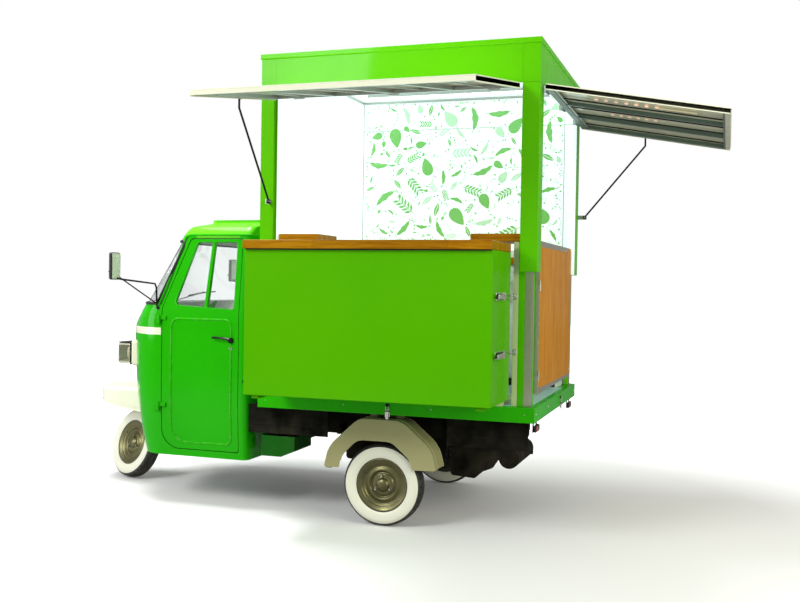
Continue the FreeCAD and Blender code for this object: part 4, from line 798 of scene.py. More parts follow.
    def moved(self, matrix: Matrix) -> "Solid":
        """Move or turn the shape."""
        bmesh.ops.transform(self.bm, matrix=matrix, verts=self.bm.verts[:])
        if matrix.determinant() < 0:
            bmesh.ops.reverse_faces(self.bm, faces=self.bm.faces[:])
        return self

    def shifted(self, place: Place) -> "Solid":
        """Move the shape by a step."""
        return self.moved(Matrix.Translation(Vector(place)))

    def mirrored(self) -> "Solid":
        """The shape's twin on the truck's other side."""
        return self.copy().moved(Matrix.Diagonal((1.0, -1.0, 1.0, 1.0)))

    def eased(self, width: float, segments: int = 2, angle: float = 28.0) -> "Solid":
        """Round off every edge that is sharper than an angle in degrees."""
        sharp = [edge for edge in self.bm.edges
                 if edge.is_manifold and edge.calc_face_angle(0.0) > math.radians(angle)]
        return self.rounded(sharp, width, segments) if sharp else self

    def rounded(self, edges: list[bmesh.types.BMEdge], width: float, segments: int) -> "Solid":
        """Round off some edges."""
        bmesh.ops.bevel(self.bm, geom=edges, offset=width, offset_type="OFFSET", segments=segments,
                        profile=0.5, affect="EDGES", clamp_overlap=True, material=-1)
        return self

    def rim(self, axis: int, height: float, beyond: int, limit: float) -> list[bmesh.types.BMEdge]:
        """Edges in the top face across an axis that reach beyond a limit along another axis."""
        return [edge for edge in self.bm.edges if all(vert.co[axis] > height - 1e-4 for vert in edge.verts)
                and max(vert.co[beyond] for vert in edge.verts) > limit]

    def thickened(self, depth: float) -> "Solid":
        """Give a flat shape its thickness along Y."""
        grown = bmesh.ops.extrude_face_region(self.bm, geom=self.bm.faces[:])
        lifted = [item for item in grown["geom"] if isinstance(item, bmesh.types.BMVert)]
        bmesh.ops.translate(self.bm, verts=lifted, vec=(0.0, depth, 0.0))
        bmesh.ops.recalc_face_normals(self.bm, faces=self.bm.faces[:])
        return self

    def sliced(self, axis: Vector, places: Iterable[float]) -> "Solid":
        """Add cross lines where planes across an axis meet the shape."""
        for place in places:
            everything = self.bm.verts[:] + self.bm.edges[:] + self.bm.faces[:]
            bmesh.ops.bisect_plane(self.bm, geom=everything, dist=1e-6, plane_co=axis * place, plane_no=axis)
        return self

    def bent(self, rule: Callable[[Vector], Place]) -> "Solid":
        """Move each point by a rule."""
        for vert in self.bm.verts:
            vert.co = rule(vert.co)
        return self

    def combined(self, tools: Sequence["Solid"], how: Cut, crossing: bool = False) -> "Solid":
        """Cut away or keep in common with other solids.

        Args:
            tools: the other solids; they are used up.
            how: what is done with them.
            crossing: whether a solid's own faces may cross each other.

        Returns:
            This solid with the result as its shape.
        """
        def on_bench(solid: Solid) -> bpy.types.Object:
            """Put a solid in the scene for a moment."""
            mesh = bpy.data.meshes.new("bench")
            solid.bm.to_mesh(mesh)
            return in_scene("bench", mesh)

        base = on_bench(self)
        others = [on_bench(tool) for tool in tools]
        for other in others:
            step = base.modifiers.new("cut", "BOOLEAN")
            step.object = other
            step.operation = how.value
            step.solver = "EXACT"
            step.use_self = crossing
        result = bpy.data.meshes.new_from_object(base.evaluated_get(bpy.context.evaluated_depsgraph_get()))
        self.bm.clear()
        self.bm.from_mesh(result)
        bpy.data.meshes.remove(result)
        for item in (base, *others):
            mesh = item.data
            bpy.data.objects.remove(item)
            bpy.data.meshes.remove(mesh)
        for tool in tools:
            tool.bm.free()
        return self


@dataclass
class Piece:
    """A named piece of the truck: solids with their finishes, in one mesh that rides on a body."""

    name: str
    body: Body = Body.CHASSIS
    crease: float = 34.0
    parts: list[tuple[Solid, Finish, Callable[[Vector], bool] | None, Finish | None]] = field(default_factory=list)
    rules: list[tuple[Callable[[Vector], bool], Finish]] = field(default_factory=list)

    def add(self, solid: Solid | Sequence[Solid], finish: Finish, where: Callable[[Vector], bool] | None = None,
            accent: Finish | None = None) -> "Piece":
        """Add solids.

        Args:
            solid: one solid or several.
            finish: their finish.
            where: says of a face's middle whether it takes the accent instead.
            accent: the second finish.

        Returns:
            This piece.
        """
        for one in [solid] if isinstance(solid, Solid) else solid:
            self.parts.append((one, finish, where, accent))
        return self

    def add_all(self, rows: Iterable[tuple[Solid, Finish]],
                change: Callable[[Solid], Solid | list[Solid]]) -> "Piece":
        """Add solids that each have their own finish, each changed first."""
        for solid, finish in rows:
            self.add(change(solid), finish)
        return self

    def dress(self, where: Callable[[Vector], bool], finish: Finish) -> None:
        """Give a finish to the faces of the whole piece whose middles pass a test."""
        self.rules.append((where, finish))

    def finish(self, *nodes: str, slot: str | None = None) -> bpy.types.Object:
        """Make the piece's object.

        Args:
            *nodes: the CAD nodes that it stands for.
            slot: the record's material slot, where it isn't its first finish's; not used.

        Returns:
            The object, riding on the piece's body.
        """
        whole = bmesh.new()
        finishes = [finish for _, finish in self.rules]
        for solid, finish, where, accent in self.parts:
            for used in (finish, accent):
                if used is not None and used not in finishes:
                    finishes.append(used)
            first = finishes.index(finish)
            second = finishes.index(accent) if accent is not None else first
            for face in solid.bm.faces:
                face.smooth = True
                middle = face.calc_center_median()
                face.material_index = second if where and where(middle) else first
                for rule, extra in self.rules:
                    if rule(middle):
                        face.material_index = finishes.index(extra)
            for edge in solid.bm.edges:
                edge.smooth = edge.is_manifold and edge.calc_face_angle(0.0) < math.radians(self.crease)
            loose = [vert for vert in solid.bm.verts if not vert.link_faces]
            bmesh.ops.delete(solid.bm, geom=loose, context="VERTS")
            carrier = bpy.data.meshes.new("carrier")
            solid.bm.to_mesh(carrier)
            whole.from_mesh(carrier)
            bpy.data.meshes.remove(carrier)
            solid.bm.free()
        bmesh.ops.translate(whole, verts=whole.verts[:], vec=ORIGIN)
        mesh = bpy.data.meshes.new(self.name)
        whole.to_mesh(mesh)
        whole.free()
        for finish in finishes:
            mesh.materials.append(finish.material())
        item = in_scene(self.name, mesh)
        item.modifiers.new("even_shading", "WEIGHTED_NORMAL").keep_sharp = True
        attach(item, self.body.value)
        if nodes:
            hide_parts(*nodes)
        log.info("%s: %d faces on %s", self.name, len(mesh.polygons), self.body.value)
        return item


def outline(corners: Sequence[Corner], place: float, steps: int = 8) -> list[Vector]:
    """Points in order round a rounded outline of x, z and radius rows, at one place across the truck."""
    bench = Solid.plate(corners, place, place + 0.01, steps)
    faces = [face for face in bench.bm.faces if all(abs(vert.co.y - place) < 1e-5 for vert in face.verts)]
    points = [vert.co.copy() for vert in faces[0].verts]
    bench.bm.free()
    return points


def open_run(points: list[Vector]) -> list[Vector]:
    """The same points, starting and ending at the two sides of their widest gap."""
    gaps = [(points[i] - points[i - 1]).length for i in range(len(points))]
    start = gaps.index(max(gaps))
    return points[start:] + points[:start]


def filled(points: list[Vector], run: float, looped: bool = True) -> list[Vector]:
    """The same route with points no further apart than a run."""
    route = points + points[:1] if looped else points
    result: list[Vector] = []
    for first, last in zip(route, route[1:]):
        count = max(1, math.ceil((last - first).length / run))
        result += [first.lerp(last, i / count) for i in range(count)]
    return result if looped else result + [route[-1]]


def both(solid: Solid) -> list[Solid]:
    """A solid and its twin on the truck's other side."""
    return [solid, solid.mirrored()]


def screw(place: Place, outward: Vector, radius: float = 0.004) -> Solid:
    """Small raised screw head on a face, narrower at its top."""
    base = Vector(place)
    return Solid.rod(base - outward * 0.001, base + outward * radius * 0.5, radius, radius * 0.6, 10)


def spaced(start: float, end: float, count: int) -> list[float]:
    """Evenly spaced numbers from one to another."""
    return [start + (end - start) * i / (count - 1) for i in range(count)]


# ---------------------------------------------------------------- stage
@dataclass
class Studio:
    """Plain pale floor, soft lights and the camera."""

    camera_place: Vector = field(default_factory=lambda: Vector((-1.866, 5.973, 1.4)))
    heading: float = 198.58
    pitch: float = 88.98
    roll: float = 0.92
    lens: float = 43.87
    floor_size: float = 60.0
    fill: float = 0.5
    backdrop: float = 1.0
    sheen: float = 0.35

    def build(self) -> None:
        """Set up everything that isn't the truck."""
        self.make_camera()
        self.make_floor()
        self.make_lights()
        bpy.context.scene.view_settings.view_transform = "Standard"

    def make_camera(self) -> None:
        """Stand the camera off the truck's left rear quarter, at eye height under the roof."""
        data = bpy.data.cameras.new("camera")
        data.sensor_width = 36.0
        data.lens = self.lens
        camera = in_scene("camera", data)
        turn = spun(self.heading, "Z") @ spun(self.pitch, "X") @ spun(self.roll, "Z")
        camera.matrix_world = Matrix.Translation(ORIGIN + self.camera_place) @ turn
        bpy.context.scene.camera = camera

    def make_floor(self) -> None:
        """Lay the floor."""
        bm = bmesh.new()
        bmesh.ops.create_grid(bm, x_segments=2, y_segments=2, size=self.floor_size / 2)
        mesh = bpy.data.meshes.new("floor")
        bm.to_mesh(mesh)
        bm.free()
        floor = in_scene("floor", mesh)
        mesh.materials.append(Backdrop("floor_pale", "", (0.92, 0.92, 0.92), (0.4, 0.4, 0.4), 0.04).material())

    def make_lights(self) -> None:
        """Pale surroundings with five soft lamps."""
        world = bpy.data.worlds.new("surroundings")
        world.use_nodes = True
        graph = Graph(world.node_tree)
        sky = world.node_tree.nodes["Background"]
        sky.inputs["Color"].default_value = (1.0, 1.0, 1.0, 1.0)
        rays = graph.add("ShaderNodeLightPath").outputs
        seen = graph.sum("MAXIMUM", rays["Is Camera Ray"], rays["Is Transmission Ray"])
        level = graph.spread(rays["Is Glossy Ray"], 0.0, 1.0, self.fill, self.sheen)
        level = graph.sum("MAXIMUM", level, graph.sum("MULTIPLY", seen, self.backdrop))
        world.node_tree.links.new(level, sky.inputs["Strength"])
        bpy.context.scene.world = world
        for name, place, aim, size, power in (
            ("key", (3.5, 6.5, 5.0), (0.0, 0.3, 1.0), 2.5, 300.0),
            ("rear_fill", (-6.0, 3.5, 3.0), (-0.5, 0.0, 1.2), 3.0, 210.0),
            ("top", (2.2, 0.4, 7.0), (0.3, 0.0, 0.0), 2.2, 400.0),
            ("cab_top", (1.55, 0.35, 3.0), (1.35, 0.2, 1.75), 0.7, 14.0),
            ("nose_fill", (5.0, 2.2, 1.6), (1.9, 0.2, 1.0), 1.6, 35.0),
        ):
            data = bpy.data.lights.new(name, "AREA")
            data.shape = "SQUARE"
            data.size = size
            data.energy = power
            data.color = (1.0, 1.0, 0.8) if name == "rear_fill" else (1.0, 1.0, 1.0)
            lamp = in_scene(name, data)
            run = Vector(aim) - Vector(place)
            lamp.matrix_world = (Matrix.Translation(ORIGIN + Vector(place))
                                 @ run.to_track_quat("-Z", "Y").to_matrix().to_4x4())


# ---------------------------------------------------------------- wheels
@dataclass
class Wheels:
    """Three wheels with white-walled tyres and stepped steel rims."""

    steer_angle: float = -28.0
    nut_circle: float = 0.05
    lug_steps: int = 96
    tread: tuple[tuple[float, float], ...] = (
        (0.0, 0.2375), (0.0105, 0.2375), (0.0112, 0.2325), (0.0138, 0.2325), (0.0145, 0.237), (0.027, 0.236),
        (0.0277, 0.231), (0.0303, 0.231), (0.031, 0.2353), (0.0375, 0.2335), (0.0435, 0.2285), (0.0495, 0.2205),
        (0.0538, 0.2085), (0.0542, 0.206), (0.055, 0.2052), (0.055, 0.196), (0.0548, 0.184), (0.0535, 0.1725),
        (0.051, 0.163), (0.0475, 0.1565), (0.0462, 0.156), (0.0435, 0.1525), (0.0405, 0.1505), (0.038, 0.146),
        (0.0365, 0.138),
    )
    face: tuple[tuple[float, float], ...] = (
        (0.0385, 0.1515), (0.0408, 0.1525), (0.0425, 0.151), (0.0428, 0.148), (0.041, 0.1435), (0.038, 0.139),
        (0.0365, 0.1365), (0.0355, 0.1325), (0.0345, 0.1285), (0.031, 0.1265), (0.029, 0.1255), (0.028, 0.1225),
        (0.0265, 0.1165), (0.0245, 0.1135), (0.0215, 0.112), (0.0205, 0.1095), (0.021, 0.105), (0.0225, 0.1005),
        (0.0255, 0.0955), (0.028, 0.0915), (0.029, 0.087), (0.0285, 0.0825), (0.026, 0.0785), (0.0215, 0.0755),
        (0.018, 0.0735), (0.017, 0.0705), (0.018, 0.067), (0.0215, 0.064), (0.0245, 0.061), (0.0255, 0.056),
        (0.0255, 0.046), (0.0262, 0.0415), (0.0285, 0.039), (0.0335, 0.0372), (0.038, 0.034), (0.042, 0.0285),
        (0.0452, 0.021), (0.047, 0.0125), (0.0478, 0.0),
    )
    back: tuple[tuple[float, float], ...] = (
        (-0.02, 0.0), (-0.02, 0.034), (-0.008, 0.04), (0.004, 0.058), (0.006, 0.075), (0.012, 0.092),
        (0.006, 0.108), (0.012, 0.122), (0.026, 0.13), (0.0335, 0.1335), (-0.0335, 0.1335), (-0.038, 0.146),
        (-0.0405, 0.1505), (-0.0385, 0.1515), (-0.036, 0.149), (-0.033, 0.1375), (0.033, 0.1375), (0.036, 0.149),
    )

    def place(self, name: str) -> Matrix:
        """Where a wheel's middle is and how it is turned, outer face along its own +Y."""
        low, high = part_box("tyre_" + name)
        middle = Matrix.Translation((low + high) / 2 - ORIGIN)
        if name == "left":
            return middle
        if name == "right":
            return middle @ spun(180.0, "Z")
        return middle @ spun(self.steer_angle, STEER_AXIS)

    def build(self) -> None:
        """Make all three wheels."""
        for name, body in (("left", Body.WHEEL_LEFT), ("right", Body.WHEEL_RIGHT), ("front", Body.WHEEL_FRONT)):
            matrix = self.place(name)
            tyre = self.tyre()
            self.add_tyre(name, body, tyre, matrix)
            rim = Piece(f"wheel_rim_{name}", body, crease=50.0)
            rim.add(Solid.lathe(self.back + self.face, False).moved(matrix), RIM_BRONZE)
            rim.add_all(self.rim_fittings(), lambda solid: solid.moved(matrix)).finish(f"rim_{name}")

    def tyre(self) -> Solid:
        """Tyre with grooves round it and a notched shoulder."""
        other = [(-axial, radial) for axial, radial in reversed(self.tread[1:])]
        tyre = Solid.lathe(self.tread + tuple(other), True, self.lug_steps)
        lugs = []
        for face in tyre.bm.faces:
            middle = face.calc_center_median()
            radial = math.hypot(middle.x, middle.z)
            step = round(math.atan2(middle.x, middle.z) / math.tau * self.lug_steps - 0.5)
            if abs(middle.y) > 0.032 and 0.2265 < radial < 0.2365 and step % 3 == 0:
                lugs.append(face)
        bmesh.ops.inset_individual(tyre.bm, faces=lugs, thickness=0.0012, depth=-0.0032)
        return tyre

    def add_tyre(self, name: str, body: Body, tyre: Solid, matrix: Matrix) -> None:
        """Dress a tyre with its white wall and make its object."""
        back = matrix.inverted()

        def white(middle: Vector) -> bool:
            """Whether a face lies in the white ring of either side."""
            local = back @ middle
            return abs(local.y) > 0.0445 and 0.156 < math.hypot(local.x, local.z) < 0.2148

        piece = Piece(f"tyre_whitewall_{name}", body, crease=50.0)
        piece.add(tyre.moved(matrix), RUBBER, white, WHITEWALL)
        piece.finish(f"tyre_{name}")

    def rim_fittings(self) -> list[tuple[Solid, Finish]]:
        """Wheel nuts on their cones, and the air valve."""
        made: list[tuple[Solid, Finish]] = []
        for i in range(3):
            turn = math.radians(5.0 + 120.0 * i)
            x, z = self.nut_circle * math.sin(turn), self.nut_circle * math.cos(turn)
            made.append((Solid.rod((x, 0.024, z), (x, 0.0285, z), 0.0125, 0.0105, 24), RIM_BRONZE))
            made.append((Solid.rod((x, 0.028, z), (x, 0.0385, z), 0.0085, 0.0078, 6).eased(0.0006, 1), RIM_BRONZE))
            made.append((Solid.rod((x, 0.038, z), (x, 0.0425, z), 0.0042, 0.0036, 12), STEEL))
        made.append((Solid.rod((0.1, 0.018, 0.062), (0.1045, 0.036, 0.0645), 0.004, 0.0032, 12), RUBBER))
        return made


# ---------------------------------------------------------------- carried-over CAD shapes
@dataclass(frozen=True)
class Carried:
    """CAD nodes whose shape is right: copied, edges rounded, and finished."""

    nodes: tuple[str, ...]
    finish: Finish
    ease: float = 0.0015
    black_above: float = math.inf
    body: Body = Body.CHASSIS

    def build(self) -> None:
        """Make one piece for each node."""
        for node in self.nodes:
            piece = Piece(node + "_finished", self.body)
            piece.add(Solid.from_node(node).eased(self.ease), self.finish,
                      lambda middle: middle.z > self.black_above, UNDERSEAL)
            piece.finish(node)


CARRIED = (
    Carried(("rear_axle",), UNDERSEAL, 0.003),
    Carried(("fuel_tank",), UNDERSEAL, 0.0015),
    Carried(("battery_box", "cab_floor"), DARK_GREEN, 0.002, 0.47),
    Carried(("slide_pads",), PLASTIC, 0.001),
    Carried(("counter_runners_fixed",), POST_CREAM),
    Carried(("rear_door_hinges",), ALUMINIUM, 0.0005),
    Carried(("door_hinges",), CAB_GREEN, 0.001),
    Carried(("seat_base",), BLACK, 0.004),
    Carried(("corner_tubes",), ALUMINIUM, 0.002),
    Carried(("latch_post",), POST_CREAM, 0.002),
    Carried(("corner_columns",), COLUMN_GREEN, 0.003),
    Carried(("shell_hinges",), ALUMINIUM_FLAT, 0.0008, body=Body.SHELL),
    Carried(("side_stay",), BLACK, 0.0008, body=Body.SIDE_STAY),
    Carried(("rear_stay",), BLACK, 0.0008, body=Body.REAR_STAY),
    Carried(("counter_runners",), BOX_GREEN, 0.0015, body=Body.COUNTER),
    Carried(("steering_fork", "handlebar"), BLACK, 0.0015, body=Body.FORK),
)


# ---------------------------------------------------------------- under the body
@dataclass
class Underside:
    """Engine dress, rear mudguards, splash boards, black sheets that stand in for shade under the body, tail lamps
    and silencer.
    """

    guard_outer: tuple[Corner, ...] = (
        (0.346, 0.327, 0.012), (0.318, 0.45, 0.16), (0.135, 0.62, 0.11), (-0.127, 0.62, 0.11),
        (-0.305, 0.47, 0.16), (-0.336, 0.35, 0.012),
    )
    guard_opening: tuple[Corner, ...] = (
        (0.256, 0.3, 0.0), (0.24, 0.4, 0.09), (0.143, 0.5, 0.09), (-0.068, 0.5, 0.09), (-0.18, 0.405, 0.09),
        (-0.205, 0.3, 0.0),
    )
    guard_face: float = 0.74
    guard_back: float = 0.577
    sheet: float = 0.003
    tail: float = -0.862
    lamp_bottom: float = 0.588
    lamp_width: float = 0.1
    outlet: float = -0.7055
    tail_rise: float = -0.66

    def build(self) -> None:
        """Make the pieces under the box."""
        self.mudguards()
        self.engine()
        self.boards_and_shade_sheets()
        self.tail_fittings()

    def shrunk(self, rows: Sequence[Corner], by: float, drop: float) -> list[Corner]:
        """A mudguard outline drawn in by a sheet's thickness and run down below its feet."""
        middle = sum(x for x, _, _ in rows) / len(rows)
        inner = [(x - math.copysign(by, x - middle), z - by, radius) for x, z, radius in rows]
        inner[0] = (inner[0][0], inner[0][1] - drop, 0.0)
        inner[-1] = (inner[-1][0], inner[-1][1] - drop, 0.0)
        return inner

    def rolled(self, solid: Solid, face: float) -> Solid:
        """Roll a mudguard's outer face over into its top strip."""
        return solid.rounded(solid.rim(1, face, 2, 0.36), 0.018, 5)

    def mudguards(self) -> None:
        """Pressed guards: the face rolls over into the top strip, with a beaded rim round the wheel."""
        form = self.rolled(Solid.plate(self.guard_outer, self.guard_back, self.guard_face, 10), self.guard_face)
        inner = self.guard_face - self.sheet
        rows = self.shrunk(self.guard_outer, self.sheet, 0.1)
        hollow = self.rolled(Solid.plate(rows, self.guard_back - 0.01, inner, 10), inner)
        opening = Solid.plate(self.guard_opening, self.guard_back - 0.01, self.guard_face + 0.01, 8)
        form.combined([hollow, opening], Cut.AWAY, True)
        rim = [at for at in open_run(outline(self.guard_opening, self.guard_face - 0.004)) if at.z > 0.345]
        piece = Piece("rear_mudguards_pressed", crease=40.0)
        solids = [form, Solid.tube(rim, 0.0045)]
        for place in (self.guard_face - 0.04, self.guard_back + 0.004):
            solids.append(Solid.tube(open_run(outline(self.guard_outer, place)), 0.0035))
        for x, z in ((0.32, 0.33), (-0.3, 0.352)):
            solids.append(Solid.block((x - 0.018, self.guard_face - 0.05, z - 0.008),
                                      (x + 0.018, self.guard_face - 0.006, z + 0.002)).eased(0.0015))
        for x in (-0.08, 0.08):
            solids.append(Solid.block((x - 0.02, self.guard_back + 0.01, 0.61),
                                      (x + 0.02, self.guard_back + 0.05, 0.652)).eased(0.002))
        for solid in solids:
            piece.add(both(solid), KHAKI)
        for x, z in ((0.318, 0.326), (-0.3, 0.348)):
            piece.add(both(Solid.rod((x, self.guard_face - 0.028, z - 0.006), (x, self.guard_face - 0.028, z),
                                     0.006, steps=6)), STEEL)
        piece.finish("rear_mudguards")

    def engine(self) -> None:
        """Engine block with cooling ribs, a sump plate and a fan cowl."""
        low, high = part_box("engine")
        low, high = low - ORIGIN, high - ORIGIN
        core = Solid.block(low + Vector((0.02, 0.02, 0.01)), high - Vector((0.02, 0.02, 0.01))).eased(0.02, 3)
        piece = Piece("engine_ribbed").add(core, CAST)
        for x in spaced(low.x + 0.03, low.x + 0.36, 12):
            rib = Solid.block((x - 0.004, low.y, low.z + 0.05), (x + 0.004, high.y, high.z - 0.06))
            piece.add(rib.eased(0.0015, 1), CAST)
        cowl = Solid.rod((high.x - 0.001, 0, (low.z + high.z) / 2), (high.x - 0.05, 0, (low.z + high.z) / 2),
                         0.12, 0.125, 40).eased(0.004)
        piece.add(cowl, UNDERSEAL)
        sump = Solid.block((low.x + 0.06, low.y + 0.05, low.z), (high.x - 0.08, high.y - 0.05, low.z + 0.05))
        piece.add(sump.eased(0.008, 3), CAST)
        piece.finish("engine")

    def boards_and_shade_sheets(self) -> None:
        """Black splash boards under the sill, ahead of and behind each rear wheel, and black sheets under the floor,
        behind the rear axle and inside each rear wheel arch: painted shade where the underside lies dark.
        """
        boards = Piece("underbody_boards_and_shade_sheets")
        for start, end, low, side in ((0.375, 0.9, 0.478, 1), (0.375, 0.9, 0.478, -1), (-0.83, -0.36, 0.478, 1),
                                      (-0.58, -0.36, 0.5, -1)):
            made = [Solid.block((start, 0.612, low), (end, 0.615, 0.652)).eased(0.001, 1),
                    Solid.block((start + 0.01, 0.614, low + 0.05), (end - 0.01, 0.62, low + 0.07)).eased(0.002, 2)]
            boards.add([solid if side > 0 else solid.mirrored() for solid in made], UNDERSEAL)
        # Thin black sheet under the whole floor: painted shade under the body.
        boards.add(Solid.block((-0.84, -0.6, 0.6465), (0.88, 0.6, 0.6495)), UNDERSEAL)
        # Flat black sheets behind the rear axle and inside each rear wheel arch: painted shade under the body.
        shade_skirt = [(-0.3, SILL_UNDER, 0), (-0.3, 0.25, 0.02), (-0.45, 0.24, 0.02), (-0.5, 0.285, 0.03),
                 (-0.56, 0.31, 0.03), (-0.62, 0.4, 0.03), (-0.66, 0.42, 0.02), (-0.66, SILL_UNDER, 0)]
        arch_shade_sheet = [(-0.3, 0.34, 0.02), (0.3, 0.34, 0.02), (0.3, SILL_UNDER, 0), (-0.3, SILL_UNDER, 0)]
        for rows, place in ((shade_skirt, 0.3), (arch_shade_sheet, 0.5)):
            boards.add(both(Solid.plate(rows, place, place + 0.003, 5)), UNDERSEAL)
        frame = Solid.from_node("chassis_frame")
        frame.combined([Solid.block((-0.9, -0.5, 0.2), (self.tail_rise, 0.5, 0.63))], Cut.AWAY)
        Piece("chassis_frame_finished").add(frame.eased(0.003), UNDERSEAL).finish("chassis_frame")
        boards.finish()

    def tail_fittings(self) -> None:
        """Slim tail lamps on short hangers under the sill, and the silencer with its short outlet."""
        hangers = Piece("rear_brackets_finished")
        for y in (0.635, 0.545):
            hanger = Solid.block((self.tail, y - 0.012, self.lamp_bottom), (self.tail + 0.004, y + 0.012, SILL_UNDER))
            hangers.add(both(hanger.eased(0.001, 1)), UNDERSEAL)
        hangers.finish("rear_brackets")
        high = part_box("tail_lamps")[1] - ORIGIN
        start, end = high.y - self.lamp_width, high.y
        lamp = Piece("tail_lamps_in_housings")
        housing = Solid.block((self.tail - 0.0165, start, self.lamp_bottom), (self.tail, end, high.z)).eased(0.004, 3)
        lamp.add(both(housing), PLASTIC)
        split = start + 0.64 * (end - start)
        for y0, y1, lens in ((split + 0.0015, end - 0.005, RED_LENS), (start + 0.005, split - 0.0015, AMBER_LENS)):
            cover = Solid.block((self.tail - 0.018, y0, self.lamp_bottom + 0.005),
                                (self.tail - 0.01, y1, high.z - 0.005))
            lamp.add(both(cover.eased(0.0012, 2)), lens)
        lamp.finish("tail_lamps", slot="red_lens")
        silencer = Solid.from_node("exhaust")
        silencer.combined([Solid.block((self.outlet - 0.3, -0.4, 0.2), (self.outlet, 0.4, 0.8))], Cut.AWAY)
        Piece("exhaust_finished").add(silencer.eased(0.0015), UNDERSEAL).finish("exhaust")


# ---------------------------------------------------------------- lower body
@dataclass
class LowerBody:
    """Sill frame, walls, posts, worktops, cabinet and the floor sheet."""

    half: float = BOX_HALF
    rear: float = BOX_REAR
    fixed_half: float = 0.7
    fixed_rear: float = -0.854
    fixed_front: float = 0.675
    sill_top: float = 0.735
    wall_top: float = 1.64
    skin: float = 0.018

    def build(self) -> None:
        """Make the fixed part of the box."""
        self.sill()
        self.walls()
        self.fittings()

    def sill(self) -> None:
        """Green sill frame with screws, and the toggle latches on its side and back."""
        frame_piece = Piece("sill_frame_finished")
        frame_piece.add(Solid.from_node("sill_frame").eased(0.003), SILL_GREEN_AND_BEAD_HIGHLIGHT)
        frame_piece.finish("sill_frame")
        heads = Piece("sill_screws")
        for x in (-0.83, -0.3, 0.23, 0.73):
            for y in SIDES:
                heads.add(screw((x, y * self.half, 0.695), Y_AXIS * y, 0.0042), STEEL)
        for y in (-0.68, -0.2, 0.3, 0.68):
            heads.add(screw((self.rear, y, 0.695), -X_AXIS, 0.0042), STEEL)
        heads.finish()
        latch = Piece("sill_toggle_latches")
        side = Matrix.Translation((-0.04, self.half, 0.668))
        back = Matrix.Translation((self.rear, -0.12, 0.668)) @ spun(90.0, "Z")
        for matrix in (side, back):
            latch.add_all(upright_toggle(), lambda solid: solid.moved(matrix))
        latch.finish()

    def room_face(self, middle: Vector) -> bool:
        """Whether a face belongs to the inside of the lower walls."""
        return (self.fixed_rear + 0.01 < middle.x < self.fixed_front - self.skin + 0.001
                and abs(middle.y) < self.fixed_half - self.skin + 0.001 and middle.z < self.wall_top - 0.004)

    def walls(self) -> None:
        """Lower walls, lined white inside, and the floor sheet."""
        inner = self.fixed_front - self.skin
        piece = Piece("lower_walls_finished")
        piece.add(Solid.from_node("lower_walls").eased(0.003), BOX_GREEN, self.room_face, WHITE)
        piece.finish("lower_walls")
        sheet = Solid.block((self.fixed_rear + 0.004, -0.388, self.sill_top),
                            (inner - 0.004, self.fixed_half - 0.002, self.sill_top + 0.0035))
        piece = Piece("floor_sheet_laid").add(sheet.eased(0.001, 1), FLOOR_SHEET)
        for x in spaced(-0.8, 0.6, 15):
            rib = Solid.block((x, -0.38, self.sill_top + 0.003), (x + 0.006, 0.69, self.sill_top + 0.0045))
            piece.add(rib, FLOOR_SHEET)
        piece.finish()

    def fittings(self) -> None:
        """Wooden worktops and the back cabinet with its doors."""
        Piece("worktops_finished").add(Solid.from_node("worktops").eased(0.004, 3), TOP_WOOD).finish("worktops")
        cabinet = Piece("back_cabinet_finished").add(Solid.from_node("back_cabinet").eased(0.002), WHITE)
        low, high = (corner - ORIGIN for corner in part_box("back_cabinet"))
        doors = 4
        pitch = (high.x - low.x - 0.02) / doors
        for i in range(doors):
            start, y = low.x + 0.01 + pitch * i, high.y
            cabinet.add(Solid.block((start + 0.004, y, low.z + 0.06), (start + pitch - 0.004, y + 0.014,
                                                                       high.z - 0.02)).eased(0.003, 2), WHITE)
            x = start + (0.05 if i % 2 else pitch - 0.05)
            cabinet.add(Solid.tube([(x, y + out, z) for out, z in ((0.012, 1.3), (0.035, 1.3), (0.035, 1.42),
                                                                   (0.012, 1.42))], 0.005), STEEL)
        plinth = Solid.block((low.x + 0.01, high.y - 0.01, low.z), (high.x - 0.01, high.y + 0.002, low.z + 0.05))
        cabinet.add(plinth, BLACK).finish("back_cabinet")


def upright_toggle() -> list[tuple[Solid, Finish]]:
    """Small toggle latch that stands upright on a side face, round the origin, facing +Y."""
    return [
        (Solid.plate([(-0.014, -0.03, 0.004), (0.014, -0.03, 0.004), (0.014, 0.012, 0.004),
                      (-0.014, 0.012, 0.004)], 0.0, 0.002), STEEL),
        (Solid.rod((-0.014, 0.006, 0.004), (0.014, 0.006, 0.004), 0.004, steps=12), BLACK),
        (Solid.plate([(-0.009, -0.042, 0.006), (0.009, -0.042, 0.006), (0.01, 0.004, 0.002),
                      (-0.01, 0.004, 0.002)], 0.006, 0.009).eased(0.001), STEEL),
        (Solid.tube([(-0.008, 0.008, 0.0), (-0.008, 0.008, 0.036), (0.008, 0.008, 0.036), (0.008, 0.008, 0.0)],
                    0.0016), STEEL),
        (Solid.plate([(-0.012, 0.03, 0.003), (0.012, 0.03, 0.003), (0.012, 0.048, 0.003),
                      (-0.012, 0.048, 0.003)], 0.0, 0.003).eased(0.0006), BLACK),
        (Solid.rod((-0.009, 0.007, 0.036), (0.009, 0.007, 0.036), 0.0034, steps=10), BLACK),
    ]


